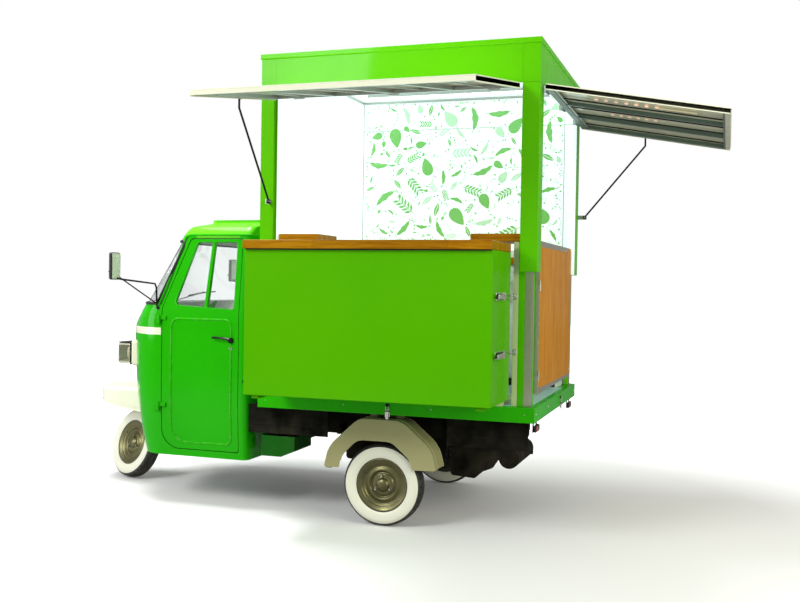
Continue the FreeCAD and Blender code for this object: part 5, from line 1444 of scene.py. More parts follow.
# ---------------------------------------------------------------- upper shell
@dataclass
class Shell:
    """Sliding shell: roof, posts, walls, its seams and screws, liners, lamps and the printed wall."""

    half: float = BOX_HALF
    inner: float = 0.71
    rear: float = BOX_REAR
    front: float = BOX_FRONT
    wall_back: float = 0.685
    bottom: float = 1.475
    fascia: float = 2.503
    ceiling: float = 2.715
    side_post: float = 0.085
    rear_post: float = 0.098
    print_front: float = 0.676

    def build(self) -> None:
        """Make everything that slides up and down."""
        self.outside()
        self.liners()
        self.lamps()
        WallPrint(self.print_front, -0.782, 1.6, 2.7, -self.inner - 0.0006).build()

    def room_face(self, middle: Vector) -> bool:
        """Whether a face belongs to the inside of the shell."""
        return (self.rear + 0.005 < middle.x < self.wall_back + 0.001 and abs(middle.y) < self.inner + 0.0005
                and self.bottom + 0.004 < middle.z < self.ceiling + 0.001)

    def outside(self) -> None:
        """Green roof, posts and walls, lined white inside with a painted glow standing in for lamp light, with seam
        strips and screw heads.
        """
        for node, ease in (("roof_panel", 0.005), ("shell_posts", 0.003), ("shell_walls", 0.003)):
            solid = Solid.from_node(node)
            if node == "shell_posts":
                spare = Solid.block((self.front - 0.13, self.inner - 0.02, self.bottom - 0.01),
                                    (self.front - self.side_post, self.half + 0.01, self.fascia + 0.004))
                solid.combined([spare], Cut.AWAY)
            piece = Piece(node + "_finished", Body.SHELL)
            # Inside faces take the glowing white, painted light standing in for the lamps' wash.
            piece.add(solid.eased(ease, 3), ROOF_GREEN, self.room_face, WHITE_PAINTED_GLOW).finish(node)
        seams = []
        for x, y in ((self.front - 0.097, 1), (self.front - 0.097, -1), (self.rear + self.rear_post, 1)):
            seams.append(Solid.block((x - 0.0012, y * (self.half - 0.002), self.fascia),
                                     (x + 0.0012, y * (self.half + 0.0012), self.ceiling)))
        seams.append(Solid.block((self.rear + 0.11, self.half - 0.002, self.fascia + 0.001),
                                 (self.front - self.side_post, self.half + 0.0015, self.fascia + 0.004)))
        for y in SIDES:
            y, z = y * (self.half + 0.004), self.ceiling + 0.003
            seams.append(Solid.rod((self.rear - 0.006, y, z), (self.front + 0.006, y, z), 0.0035, steps=8))
        Piece("shell_seams", Body.SHELL).add(seams, ROOF_GREEN).finish()
        heads = []
        for z in spaced(self.bottom + 0.05, self.ceiling - 0.03, 9):
            for x in (self.rear + 0.018, self.rear + self.rear_post - 0.014, self.front - 0.015,
                      self.front - self.side_post + 0.014):
                heads.append(screw((x, self.half, z), Y_AXIS, SCREW))
            heads += [screw((self.rear, y, z), -X_AXIS, SCREW) for y in (self.half - 0.016, -self.half + 0.016)]
            heads += [screw((x, -self.half, z), -Y_AXIS, SCREW)
                      for x in spaced(self.rear + 0.02, self.front - 0.02, 5)]
        heads += [screw((x, self.half, self.ceiling - 0.012), Y_AXIS, SCREW)
                  for x in spaced(self.rear + 0.05, self.front - 0.05, 12)]
        Piece("shell_screws", Body.SHELL).add(heads, ROOF_GREEN).finish()

    def liners(self) -> None:
        """Joint strips of the white lining."""
        wall, high = -self.inner, self.ceiling - 0.002
        strips = Piece("shell_liner_joints", Body.SHELL)
        for start, end in ((self.print_front, self.print_front + 0.004), (self.rear + 0.0965, self.rear + 0.0995)):
            strips.add(Solid.block((start, wall - 0.001, self.bottom + 0.002), (end, wall + 0.0002, high - 0.018)),
                       SEAL)
        for start, end, side, far in ((self.rear + 0.12, self.wall_back - 0.002, wall - 0.001, wall + 0.014),
                                      (self.wall_back - 0.014, self.wall_back - 0.001, wall + 0.002, -wall - 0.002)):
            strips.add(Solid.block((start, side, high - 0.014), (end, far, high)).eased(0.002, 1), ALUMINIUM_FLAT)
        strips.finish()

    def lamps(self) -> None:
        """Lamp strips under the ceiling."""
        strips = Piece("ceiling_lamp_strips", Body.SHELL)
        for y in (-0.45, 0.0, 0.45):
            for grow, half, top, finish in ((0.0, 0.02, 0.001, ALUMINIUM_FLAT), (0.01, 0.012, 0.019, LAMP_WHITE)):
                strip = Solid.block((-0.7 + grow, y - half, self.ceiling - (0.026 if grow else 0.02)),
                                    (0.55 - grow, y + half, self.ceiling - top))
                strips.add(strip.eased(0.003, 2), finish)
        strips.finish(slot="white_panel")


class Motif(Enum):
    """Shapes of the printed wall."""

    LEAF = "leaf"
    POD = "pod"
    DROP = "drop"
    SPRIG = "sprig"
    RING = "ring"
    DOT = "dot"
    WAVE = "wave"


@dataclass
class WallPrint:
    """Plain leaf, pod, drop and dot pattern printed on the white wall in two light greens."""

    front: float
    rear: float
    bottom: float
    top: float
    face: float
    film: float = 0.0008
    seed: int = 7
    tries: int = 9000

    def build(self) -> None:
        """Scatter the shapes, large ones first, so that none touches another."""
        dice = random.Random(self.seed)
        placed: list[tuple[float, float, float]] = []
        deep = Piece("wall_print_deep", Body.SHELL)
        pale = Piece("wall_print_light", Body.SHELL)
        plan = ((0.085, 26, (Motif.POD, Motif.SPRIG, Motif.DROP)),
                (0.056, 90, (Motif.LEAF, Motif.DROP, Motif.SPRIG, Motif.POD, Motif.RING)),
                (0.036, 260, (Motif.LEAF, Motif.WAVE, Motif.RING, Motif.DROP, Motif.POD)),
                (0.02, 560, (Motif.LEAF, Motif.RING, Motif.WAVE, Motif.DROP)),
                (0.01, 700, (Motif.DOT, Motif.DROP)), (0.0055, 700, (Motif.DOT,)))
        for reach, count, choices in plan:
            made = 0
            for _ in range(self.tries):
                size = reach * dice.uniform(0.82, 1.12)
                x = dice.uniform(self.rear + size, self.front - size - 0.012)
                z = dice.uniform(self.bottom + size, self.top - size)
                motif = dice.choice(choices)
                turn = dice.uniform(0.0, math.tau)
                tone = dice.random()
                if all(math.hypot(x - px, z - pz) > size * 0.84 + pr * 0.88 for px, pz, pr in placed):
                    placed.append((x, z, size))
                    target = deep if tone < 0.72 else pale
                    finish = LEAF if tone < 0.72 else PALE_LEAF
                    matrix = Matrix.Translation((x, self.face, z)) @ Matrix.Rotation(turn, 4, "Y")
                    for solid in self.shape(motif, size, dice):
                        target.add(solid.moved(matrix), finish)
                    made += 1
                    if made == count:
                        break
        deep.finish()
        pale.finish()

    def patch(self, reach: float, narrow: float, rule: Callable[[float], float], steps: int = 18) -> Solid:
        """Thin flat shape along X whose half width at each place along it follows a rule."""
        solid = Solid()
        turn = spun(90.0, "X")
        bmesh.ops.create_circle(solid.bm, cap_ends=True, segments=steps, radius=1.0, matrix=turn)
        solid.bent(lambda at: (at.x * reach, 0.0, at.z * narrow * rule(at.x)))
        return solid.thickened(self.film)

    def leaf(self, reach: float, narrow: float) -> Solid:
        """Pointed leaf."""
        return self.patch(reach, narrow, lambda at: max(0.0, 1.0 - abs(at)) ** 0.35)

    def shape(self, motif: Motif, size: float, dice: random.Random) -> list[Solid]:
        """Build one motif round the origin.

        Args:
            motif: which one.
            size: its radius.
            dice: source of the small differences between shapes.

        Returns:
            Its solids.
        """
        if motif is Motif.DOT:
            return [self.patch(size * 0.62, size * 0.62, lambda at: 1.0, 10)]
        if motif is Motif.LEAF:
            halves = []
            for side in SIDES:
                half = self.leaf(size * 0.95, size * 0.3)
                half.shifted((0, 0, side * size * 0.02))
                bmesh.ops.bisect_plane(half.bm, geom=half.bm.verts[:] + half.bm.edges[:] + half.bm.faces[:],
                                       plane_co=(0, 0, side * size * 0.025), plane_no=(0, 0, -side),
                                       clear_outer=True, dist=1e-6)
                bmesh.ops.holes_fill(half.bm, edges=half.bm.edges[:], sides=0)
                halves.append(half)
            return halves
        if motif is Motif.DROP:
            return [self.patch(size * 0.85, size * 0.5, lambda at: max(0.0, 1.0 - at) ** 0.45)]
        if motif is Motif.RING:
            ring = Solid()
            turn = spun(90.0, "X")
            bmesh.ops.create_circle(ring.bm, cap_ends=True, segments=22, radius=size * 0.7, matrix=turn)
            inner = bmesh.ops.inset_region(ring.bm, faces=ring.bm.faces[:], thickness=size * 0.2)
            middle = [face for face in ring.bm.faces if face not in inner["faces"]]
            bmesh.ops.delete(ring.bm, geom=middle, context="FACES")
            return [ring.thickened(self.film)]
        if motif is Motif.WAVE:
            bend = dice.uniform(0.16, 0.26)
            wave = self.patch(size * 0.95, size * 0.09, lambda at: 1.0, 26)
            return [wave.bent(lambda at: (at.x, at.y, at.z + size * bend * math.sin(at.x / size * 6.0)))]
        if motif is Motif.POD:
            bend = dice.uniform(0.12, 0.3)
            pod = self.patch(size * 0.97, size * 0.27,
                             lambda at: (1.0 - abs(at) ** 3) * (0.86 + 0.14 * math.cos(at * 9.5)), 44)
            stalk = self.patch(size * 0.12, size * 0.035, lambda at: 1.0, 10)
            return [pod.bent(lambda at: (at.x, at.y, at.z - bend * size * (at.x / size) ** 2)),
                    stalk.shifted((-size * 1.02, 0.0, -bend * size))]
        sprig = [self.patch(size * 0.95, size * 0.035, lambda at: 1.0, 14)]
        for i in range(5):
            for side in SIDES:
                blade = self.leaf(size * 0.27, size * 0.1)
                turn = spun(-48.0 * side, "Y")
                step = Matrix.Translation((size * (-0.55 + 0.31 * i), 0.0, 0.0))
                sprig.append(blade.moved(step @ turn @ Matrix.Translation((size * 0.3, 0.0, 0.0))))
        return sprig


# ---------------------------------------------------------------- awnings
@dataclass
class Awning:
    """One hinged awning: its skin, its lining between the ribs, trims and lamp strips."""

    name: str
    body: Body
    low: float
    high: float
    length: float
    swing: float
    at_rear: bool
    frame_deep: float = 0.022
    thick: float = 0.028
    hinge_height: float = 2.474
    hinge_out: float = 0.006
    top: float = -0.012
    half: float = BOX_HALF
    rear: float = BOX_REAR
    lining: Finish = WHITE
    edging: Finish = CREAM
    bars: Finish = ALUMINIUM_FLAT
    batten: Finish = ALUMINIUM_FLAT

    def matrix(self) -> Matrix:
        """From the awning's own axes (along it, outwards, upwards) to its open place."""
        if self.at_rear:
            shut = Matrix.Translation((self.rear, 0.0, self.hinge_height)) @ spun(90.0, "Z")
            pin = Matrix.Translation((self.rear - self.hinge_out, 0.0, self.hinge_height))
            turn = spun(self.swing, "Y")
        else:
            shut = Matrix.Translation((0.0, self.half, self.hinge_height))
            pin = Matrix.Translation((0.0, self.half + self.hinge_out, self.hinge_height))
            turn = spun(self.swing, "X")
        return pin @ turn @ pin.inverted() @ shut

    def build(self, ribs: Sequence[float], lamps: Sequence[tuple[float, float, float, Finish]]) -> None:
        """Make the awning's pieces.

        Args:
            ribs: places along the awning of the thin battens that run from hinge to tip.
            lamps: each lamp strip's place along the awning, its start and end as shares of the way from
                hinge to tip, and its light.
        """
        matrix = self.matrix()
        back = matrix.inverted()

        def inside(middle: Vector) -> bool:
            """Whether a face of the skin looks into the awning."""
            return (back @ middle).y < (self.frame_deep + self.thick) / 2

        skin = Piece(f"{self.name}_skin_finished", self.body)
        skin.add(Solid.from_node(f"{self.name}_skin").eased(0.0012, 2), CREAM, inside, self.lining)
        skin.finish(f"{self.name}_skin")
        trims = Piece(f"{self.name}_trims", self.body)
        for place in ribs:
            batten = Solid.block((place - 0.0045, self.frame_deep - 0.007, -self.length + 0.04),
                                 (place + 0.0045, self.frame_deep + 0.001, self.top - 0.04)).eased(0.0015, 1)
            trims.add(batten.moved(matrix), self.batten)
        for start, end in ((self.low, self.low + 0.003), (self.high - 0.003, self.high)):
            for inner, outer, finish in ((0.0005, self.thick - 0.009, CREAM),
                                         (self.thick - 0.009, self.thick - 0.0002, self.edging)):
                plate = Solid.block((start, inner, -self.length + 0.001), (end, outer, self.top - 0.001))
                trims.add(plate.moved(matrix), finish)
        trims.add(Solid.block((self.low + 0.042, self.frame_deep - 0.012, self.top - 0.052),
                              (self.high - 0.042, self.frame_deep, self.top - 0.041)).moved(matrix), ALUMINIUM_FLAT)
        strips = Piece(f"{self.name}_lamp_strips", self.body)
        for place, start, end, light in lamps:
            if light is LAMP_WARM:
                for z in spaced(-self.length * end, -self.length * start, round((end - start) * 22)):
                    strips.add(Solid.ball((place, self.frame_deep, z), 0.009, (1.0, 0.4, 1.3)).moved(matrix), light)
                continue
            strip = Solid.block((place - 0.007, self.frame_deep - 0.005, -self.length * end),
                                (place + 0.007, self.frame_deep + 0.001, -self.length * start)).eased(0.001, 1)
            strips.add(strip.moved(matrix), light)
        strips.finish(slot="white_panel")
        trims.finish()
        bars = Piece(f"{self.name}_frame_finished", self.body)

        def outer(middle: Vector) -> bool:
            """Whether a face of the frame is on its outer edge or its tip bar."""
            place = back @ middle
            return place.x < self.low + 0.002 or place.x > self.high - 0.002 or place.z < -self.length + 0.03

        frame = Solid.from_node(f"{self.name}_frame").eased(0.001).moved(back)
        bars.add(frame.sliced(Z_AXIS, [-self.length + 0.028]).moved(matrix), self.bars, outer, CREAM)
        bars.finish(f"{self.name}_frame")


# ---------------------------------------------------------------- counter
@dataclass
class Counter:
    """Slide-out counter box with its wooden top, seams and end latches."""

    rear: float = -0.742
    front: float = 0.651
    back: float = 0.743
    face: float = 1.173
    bottom: float = 0.776
    wood: float = 1.579
    latch_heights: tuple[float, ...] = (1.341, 1.035)

    def build(self) -> None:
        """Make everything that slides out."""
        box = Piece("counter_box_finished", Body.COUNTER)
        box.add(Solid.from_node("counter_box").eased(0.005, 3), BOX_GREEN)
        box.finish("counter_box")
        wood = Piece("counter_top_finished", Body.COUNTER)
        wood.add(Solid.from_node("counter_top").eased(0.005, 3), TOP_WOOD)
        wood.finish("counter_top")
        trim = Piece("counter_trims", Body.COUNTER)
        trim.add(Solid.block((self.rear + 0.004, self.back + 0.01, self.wood - 0.006),
                             (self.front - 0.004, self.face + 0.002, self.wood + 0.0005)).eased(0.001, 1), SEAL)
        for y in (self.back + 0.012, self.face - 0.012):
            for z in spaced(self.bottom + 0.03, self.wood - 0.03, 6):
                trim.add(screw((self.rear, y, z), -X_AXIS, 0.0034), BOX_GREEN)
        trim.finish()
        latches = Piece("counter_latches", Body.COUNTER)
        for height in self.latch_heights:
            latches.add_all(self.latch(height), lambda solid: solid)
        latches.finish()
        catches = Piece("counter_catches")
        for height in self.latch_heights:
            foot = Solid.block((self.rear - 0.03, 0.6995, height - 0.016), (self.rear - 0.008, 0.707, height + 0.016))
            catches.add(foot.eased(0.001, 1), STEEL)
            nose = Solid.block((self.rear - 0.024, 0.705, height - 0.009), (self.rear - 0.012, 0.731, height + 0.009))
            catches.add(nose.eased(0.003, 3), STEEL)
        catches.finish()

    def latch(self, z: float) -> list[tuple[Solid, Finish]]:
        """Toggle latch on the box's end, lying along Y, that hooks the post beside it."""
        x, y = self.rear, self.back + 0.16
        base = Solid.block((x - 0.003, y, z - 0.02), (x + 0.001, y + 0.19, z + 0.02)).eased(0.0012, 1)
        body = Solid.block((x - 0.022, y + 0.05, z - 0.015), (x - 0.003, y + 0.185, z + 0.015)).eased(0.006, 3)
        lever = Solid.block((x - 0.032, y + 0.075, z - 0.012), (x - 0.02, y + 0.235, z + 0.012)).eased(0.004, 3)
        pivot = Solid.rod((x - 0.016, y + 0.06, z - 0.02), (x - 0.016, y + 0.06, z + 0.02), 0.007, steps=14)
        hook = Solid.tube([(x - 0.014, y + 0.06, z - 0.009), (x - 0.014, self.back + 0.012, z - 0.009),
                           (x - 0.014, self.back + 0.003, z), (x - 0.014, self.back + 0.012, z + 0.009),
                           (x - 0.014, y + 0.06, z + 0.009)], 0.0028)
        claw = Solid.block((x - 0.012, self.back + 0.006, z - 0.011), (x + 0.001, self.back + 0.04, z + 0.011))
        return [(base, STEEL), (body, BLACK), (lever, STEEL), (pivot, STEEL), (hook, STEEL),
                (claw.eased(0.003, 2), STEEL)]


# ---------------------------------------------------------------- rear door
@dataclass
class RearDoor:
    """Lower half door: aluminium stiles round an upright-grained board, with a wooden facing, screws and a bolt."""

    back: float = -0.878
    half: float = 0.6079
    stile: float = 0.034
    clear: float = 0.035
    bottom: float = 0.8
    top: float = 1.65

    def build(self) -> None:
        """Make the door's pieces."""
        door = Piece("rear_door_frame_finished", Body.REAR_DOOR)

        def recessed(at: Vector) -> Place:
            """Set the frame back into the doorway, with its free side clear of the post."""
            return (max(at.x, self.back + 0.012) if at.y < self.half - 0.002 else at.x,
                    at.y + self.clear if at.y < -0.3 else at.y, at.z)

        door.add(Solid.from_node("rear_door_frame").eased(0.002, 2).bent(recessed), ALUMINIUM)
        door.finish("rear_door_frame")
        board = Piece("rear_door_board", Body.REAR_DOOR)
        panel = Solid.from_node("rear_door_panel").eased(0.001, 1)
        board.add(panel.bent(lambda at: (at.x + 0.0085, max(at.y, self.clear - self.half), at.z)), DOOR_WOOD)
        board.finish("rear_door_panel")
        trim = Piece("rear_door_trims", Body.REAR_DOOR)
        facing = Solid.block((self.back + 0.0105, -self.half + self.clear + 0.004, self.bottom + 0.02),
                             (self.back + 0.0155, self.half - self.stile, self.top - 0.002)).eased(0.0008, 1)
        trim.add(facing, DOOR_WOOD)
        inside = self.back + 0.032
        bolt = self.bottom + 0.62
        trim.add(Solid.block((inside, -self.half + 0.004, bolt - 0.02), (inside + 0.004, -self.half + 0.1,
                                                                        bolt + 0.02)).eased(0.001, 1), STEEL)
        trim.add(Solid.rod((inside + 0.009, -self.half + 0.002, bolt), (inside + 0.009, -self.half + 0.095, bolt),
                           0.006, steps=14), STEEL)
        for y, back in ((-self.half + self.clear + 0.02, 0.0105), (self.half - 0.017, 0.012)):
            for z in spaced(self.bottom + 0.05, self.top - 0.05, 4):
                trim.add(screw((self.back + back, y, z), -X_AXIS, 0.0034), STEEL)
        trim.finish()


# ---------------------------------------------------------------- cab
@dataclass
class CabForm:
    """The cab's rounded form: plan outline at any height, softened between its main heights."""

    rear: float = 0.905
    back_round: float = 0.04
    waist: float = 1.225
    shoulder: float = 1.682
    rows: tuple[tuple[float, float, float, float, float], ...] = (
        (0.3, 0.625, 0.6, 0.285, 0.19), (0.46, 0.64, 0.6, 0.365, 0.25), (0.72, 0.65, 0.6, 0.44, 0.29),
        (1.075, 0.65, 0.6, 0.465, 0.3), (1.225, 0.648, 0.585, 0.37, 0.25), (1.682, 0.602, 0.413, 0.13, 0.095),
        (1.735, 0.56, 0.395, 0.095, 0.07), (1.769, 0.44, 0.325, 0.06, 0.05),
    )

    def slope(self, i: int, k: int) -> float:
        """How fast a size changes with height at one of the main heights, without overshoot."""
        rows = self.rows
        if i in (0, len(rows) - 1):
            return 0.0 if i else (rows[1][k] - rows[0][k]) / (rows[1][0] - rows[0][0])
        before = (rows[i][k] - rows[i - 1][k]) / (rows[i][0] - rows[i - 1][0])
        after = (rows[i + 1][k] - rows[i][k]) / (rows[i + 1][0] - rows[i][0])
        if before * after <= 0:
            return 0.0
        return 2 * before * after / (before + after)

    def sizes(self, z: float) -> tuple[float, float, float, float]:
        """Half width, start of the corner, nose reach and corner radius at a height."""
        rows = self.rows
        z = min(max(z, rows[0][0]), rows[-1][0])
        i = max(j for j in range(len(rows) - 1) if rows[j][0] <= z)
        low, high = rows[i], rows[i + 1]
        rise = high[0] - low[0]
        t = (z - low[0]) / rise
        result = []
        for k in range(1, 5):
            if low[0] == self.waist:
                result.append(low[k] + (high[k] - low[k]) * t)
                continue
            first, last = self.slope(i, k), self.slope(i + 1, k)
            if high[0] == self.waist:
                last = (rows[i + 2][k] - high[k]) / (rows[i + 2][0] - high[0])
            if low[0] == self.shoulder:
                first = (low[k] - rows[i - 1][k]) / (low[0] - rows[i - 1][0])
            a, b = 2 * t ** 3 - 3 * t ** 2 + 1, t ** 3 - 2 * t ** 2 + t
            c, d = -2 * t ** 3 + 3 * t ** 2, t ** 3 - t ** 2
            result.append(a * low[k] + b * rise * first + c * high[k] + d * rise * last)
        return result[0], result[1], result[2], result[3]

    def plan(self, z: float, inset: float) -> tuple[float, float, float, float, float]:
        """Half width, start of the corner, its radius, setback of the front arc's middle and that arc's radius."""
        half, start, nose, corner = self.sizes(z)
        half, nose, corner = half - inset, nose - inset, max(corner - inset, 0.02)
        back = ((half - corner) ** 2 - (nose - corner) ** 2) / (2 * (nose - corner))
        return half, self.rear + start, corner, back, back + nose

    def ring(self, z: float, inset: float = 0.0, shrink: float = 1.0) -> list[Vector]:
        """Plan outline at a height, drawn in by an inset, in order from the middle of the back."""
        half, start, corner, back, big = self.plan(z, inset)
        turn = math.atan2(half - corner, back)
        bend = max(self.back_round - inset, 0.008)
        rear = self.rear + inset
        left = [(rear, (half - bend) * i / 4) for i in range(5)]
        for i in range(1, 7):
            at = math.pi / 2 * i / 6
            left.append((rear + bend - bend * math.cos(at), half - bend + bend * math.sin(at)))
        left += [(rear + bend + (start - rear - bend) * i / 10, half) for i in range(1, 11)]
        for i in range(1, 13):
            at = math.pi / 2 + (turn - math.pi / 2) * i / 12
            left.append((start + corner * math.cos(at), half - corner + corner * math.sin(at)))
        for i in range(1, 13):
            at = turn * (1 - i / 12)
            left.append((start - back + big * math.cos(at), big * math.sin(at)))
        points = left + [(x, -y) for x, y in reversed(left[1:-1])]
        middle = self.rear + 0.3
        return [Vector((middle + (x - middle) * shrink, y * shrink, z)) for x, y in points]

    def solid(self, inset: float, low: float, high: float, marks: Sequence[float] = ()) -> Solid:
        """The whole form as a solid between two heights.

        Args:
            inset: how far it is drawn in.
            low: its bottom.
            high: its top; the roof is domed when that is the form's own top.
            marks: heights where it must have a line.

        Returns:
            The form.
        """
        levels = {low, high, *(mark for mark in marks if low < mark < high)}
        levels |= {row[0] for row in self.rows if low < row[0] < high}
        levels |= {place / 1000 for place in range(300, 1226, 37) if low < place / 1000 < high}
        levels |= {place / 1000 for place in range(1690, 1786, 8) if low < place / 1000 < high}
        rings = [self.ring(level, inset) for level in sorted(levels)]
        if high >= self.rows[-1][0] - 0.03:
            for rise, shrink in ((0.003, 0.86), (0.0055, 0.7), (0.0075, 0.5), (0.0085, 0.25), (0.009, 0.08)):
                ring = self.ring(high, inset, shrink)
                rings.append([point + Z_AXIS * rise for point in ring])
        return Solid.loft(rings)

    def front(self, y: float, z: float, inset: float = 0.0) -> float:
        """Where the front surface is at a place across and a height."""
        half, start, corner, back, big = self.plan(z, inset)
        joint = big * math.sin(math.atan2(half - corner, back))
        y = min(abs(y), half - 0.0005)
        if y <= joint:
            return start - back + math.sqrt(big * big - y * y)
        return start + math.sqrt(max(0.0, corner * corner - (y - half + corner) ** 2))

    def side(self, x: float, z: float, inset: float = 0.0) -> float:
        """How far out the side surface is at a place along and a height."""
        half, start, _, corner = self.sizes(z)
        half, corner = half - inset, max(corner - inset, 0.02)
        past = x - self.rear - start
        if past <= 0:
            return half
        return half - corner + math.sqrt(max(0.0, corner * corner - past * past))


@dataclass
class Cab:
    """Cab: shell, glass, doors, lamps, front mudguard, mirrors, wipers and dashboard."""

    form: CabForm = field(default_factory=CabForm)
    wall: float = 0.02
    door_gap: float = 0.005
    door_thick: float = 0.03
    stripe: tuple[float, float] = (1.055, 1.1)
    stripe_start: float = 1.503
    screen_low: float = 1.25
    screen_high: float = 1.645
    post_low: float = 1.53
    post_high: float = 1.362
    lamp_y: float = 0.42
    lamp_z: float = 0.92

    def build(self) -> None:
        """Make everything on the cab."""
        self.shell()
        self.screen()
        for side, body in ((1, Body.DOOR_LEFT), (-1, Body.DOOR_RIGHT)):
            self.door(side, body)
        self.rails()
        self.headlamps()
        self.guard()
        self.mirrors()
        self.wipers()
        self.dashboard()

    def door_corners(self, gap: float) -> list[Corner]:
        """Outline of a door seen from the side, shrunk by a gap."""
        return [(0.957 + gap, 0.342 + gap, 0.02), (1.5 - gap, 0.342 + gap, 0.12), (1.5 - gap, 1.225, 0.06),
                (1.3238 - gap, 1.664 - gap, 0.03), (0.957 + gap, 1.664 - gap, 0.02)]

    def window_corners(self, grow: float, rear: float = 0.993, front_low: float = 1.416,
                       front_high: float = 1.274) -> list[Corner]:
        """Outline of a door's window seen from the side, grown by an amount."""
        return [(rear - grow, 1.22 - grow, 0.02), (front_low + grow, 1.242 - grow, 0.028),
                (front_high + grow, 1.642 + grow, 0.03), (rear - grow, 1.642 + grow, 0.02)]

    def outer_face(self, middle: Vector) -> bool:
        """Whether a place lies on the outer surface."""
        if middle.x < 1.3:
            return False
        return (middle.x > self.form.front(middle.y, middle.z) - 0.01
                or abs(middle.y) > self.form.side(middle.x, middle.z) - 0.01)

    def inner_face(self, middle: Vector) -> bool:
        """Whether a place lies on the inner surface, below the roof."""
        form = self.form
        deep = 0.6 * self.wall
        return (middle.z < 1.735 and form.rear + deep < middle.x < form.front(middle.y, middle.z) - deep
                and abs(middle.y) < form.side(middle.x, middle.z) - deep)

    def striped(self, middle: Vector) -> bool:
        """Whether a face is part of the pale stripe round the nose."""
        return (self.stripe[0] < middle.z < self.stripe[1] and middle.x > self.stripe_start
                and self.outer_face(middle))

    def screen_hole(self, grow: float) -> Solid:
        """Block through the windscreen opening, which wraps round to the door posts."""
        low, high = self.screen_low - grow, self.screen_high + grow
        rows = [(self.post_low - grow, low, 0.05), (self.post_high - grow, high, 0.04), (2.3, high, 0), (2.3, low, 0)]
        return Solid.plate(rows, -0.7, 0.7, 8)

    def screen_route(self) -> list[Vector]:
        """Points round the windscreen opening on the cab's surface."""
        form = self.form
        low, high = self.screen_low, self.screen_high
        rise = [(self.post_low + 0.03, low), (self.post_low + 0.006, low + 0.008),
                (self.post_low - 0.012, low + 0.05)]
        steps = 8
        first, last = (self.post_low - 0.012, low + 0.05), (self.post_high + 0.012, high - 0.04)
        rise += [(first[0] + (last[0] - first[0]) * i / steps, first[1] + (last[1] - first[1]) * i / steps)
                 for i in range(1, steps + 1)]
        rise += [(self.post_high + 0.008, high - 0.01), (self.post_high + 0.03, high)]
        left = [Vector((x, form.side(x, z) - 0.001, z)) for x, z in rise]
        right = [Vector((place.x, -place.y, place.z)) for place in reversed(left)]
        over = [place for place in form.ring(high, 0.001) if place.x > self.post_high + 0.035]
        under = [place for place in form.ring(low, 0.001) if place.x > self.post_low + 0.035]
        return left + over + right + under[::-1]

    def back_hole(self, grow: float) -> Solid:
        """Rounded block through the rear window opening."""
        half, low, high = 0.33 + grow, 1.3 - grow, 1.6 + grow
        plate = Solid.plate([(-half, low, 0.04), (half, low, 0.04), (half, high, 0.04), (-half, high, 0.04)],
                            -1.0, -0.88, 6)
        return plate.moved(spun(90.0, "Z"))

    def shell(self) -> None:
        """Hollow pressed shell with its doorways and windows, and the stripe round the nose."""
        form = self.form
        shell = form.solid(0.0, 0.3, CAB_TOP, self.stripe)
        tools = [form.solid(self.wall, 0.2, CAB_TOP - self.wall)]
        for side in SIDES:
            span = (0.52, 0.7) if side > 0 else (-0.7, -0.52)
            tools.append(Solid.plate(self.door_corners(0.0), *span))
        tools.append(self.screen_hole(0.0))
        tools.append(self.back_hole(0.0))
        tools.append(Solid.block((0.9, -0.045, 0.2), (0.93, 0.045, 0.39)))
        tools.append(Solid.block((1.8, -0.3, 0.2), (2.2, 0.3, 0.52)))
        tools.append(self.head_rod(0.29, 0.53, 0.04))
        shell.combined(tools, Cut.AWAY)
        piece = Piece("cab_shell_pressed", crease=30.0)
        piece.add(shell, CAB_GREEN, self.striped, CREAM)
        piece.dress(self.inner_face, CAB_LINING)
        # The roof above 1.668 m takes the paler green as a painted highlight.
        piece.dress(lambda middle: middle.z > 1.668 and not self.inner_face(middle), CAB_ROOF_PAINTED_HIGHLIGHT)
        piece.finish("cab_shell")

    def head_rod(self, start: float, end: float, radius: float) -> Solid:
        """Bar along the steering axis, between two distances from the front hub."""
        return Solid.rod(FRONT_HUB + STEER_AXIS * start, FRONT_HUB + STEER_AXIS * end, radius, steps=32)

    def screen(self) -> None:
        """Curved windscreen, rear pane and their rubber gaskets."""
        form = self.form
        glass = form.solid(0.007, 1.2, 1.7)
        glass.combined([self.screen_hole(0.006)], Cut.COMMON)
        glass.combined([form.solid(0.012, 1.1, 1.75)], Cut.AWAY)
        pane = Solid.block((0.912, -0.335, 1.295), (0.917, 0.335, 1.605)).eased(0.001, 1)
        Piece("cab_panes").add([glass, pane], PANE).finish("cab_glass", slot="glass")
        gasket = Piece("cab_gaskets")
        gasket.add(Solid.tube(self.screen_route(), 0.0095, 8, True), SEAL)
        rows = [(-0.33, 1.3, 0.04), (0.33, 1.3, 0.04), (0.33, 1.6, 0.04), (-0.33, 1.6, 0.04)]
        route = [Vector((form.rear + 0.001, place.x, place.z)) for place in outline(rows, 0.0)]
        gasket.add(Solid.tube(route, 0.008, 8, True), SEAL)
        gasket.finish()

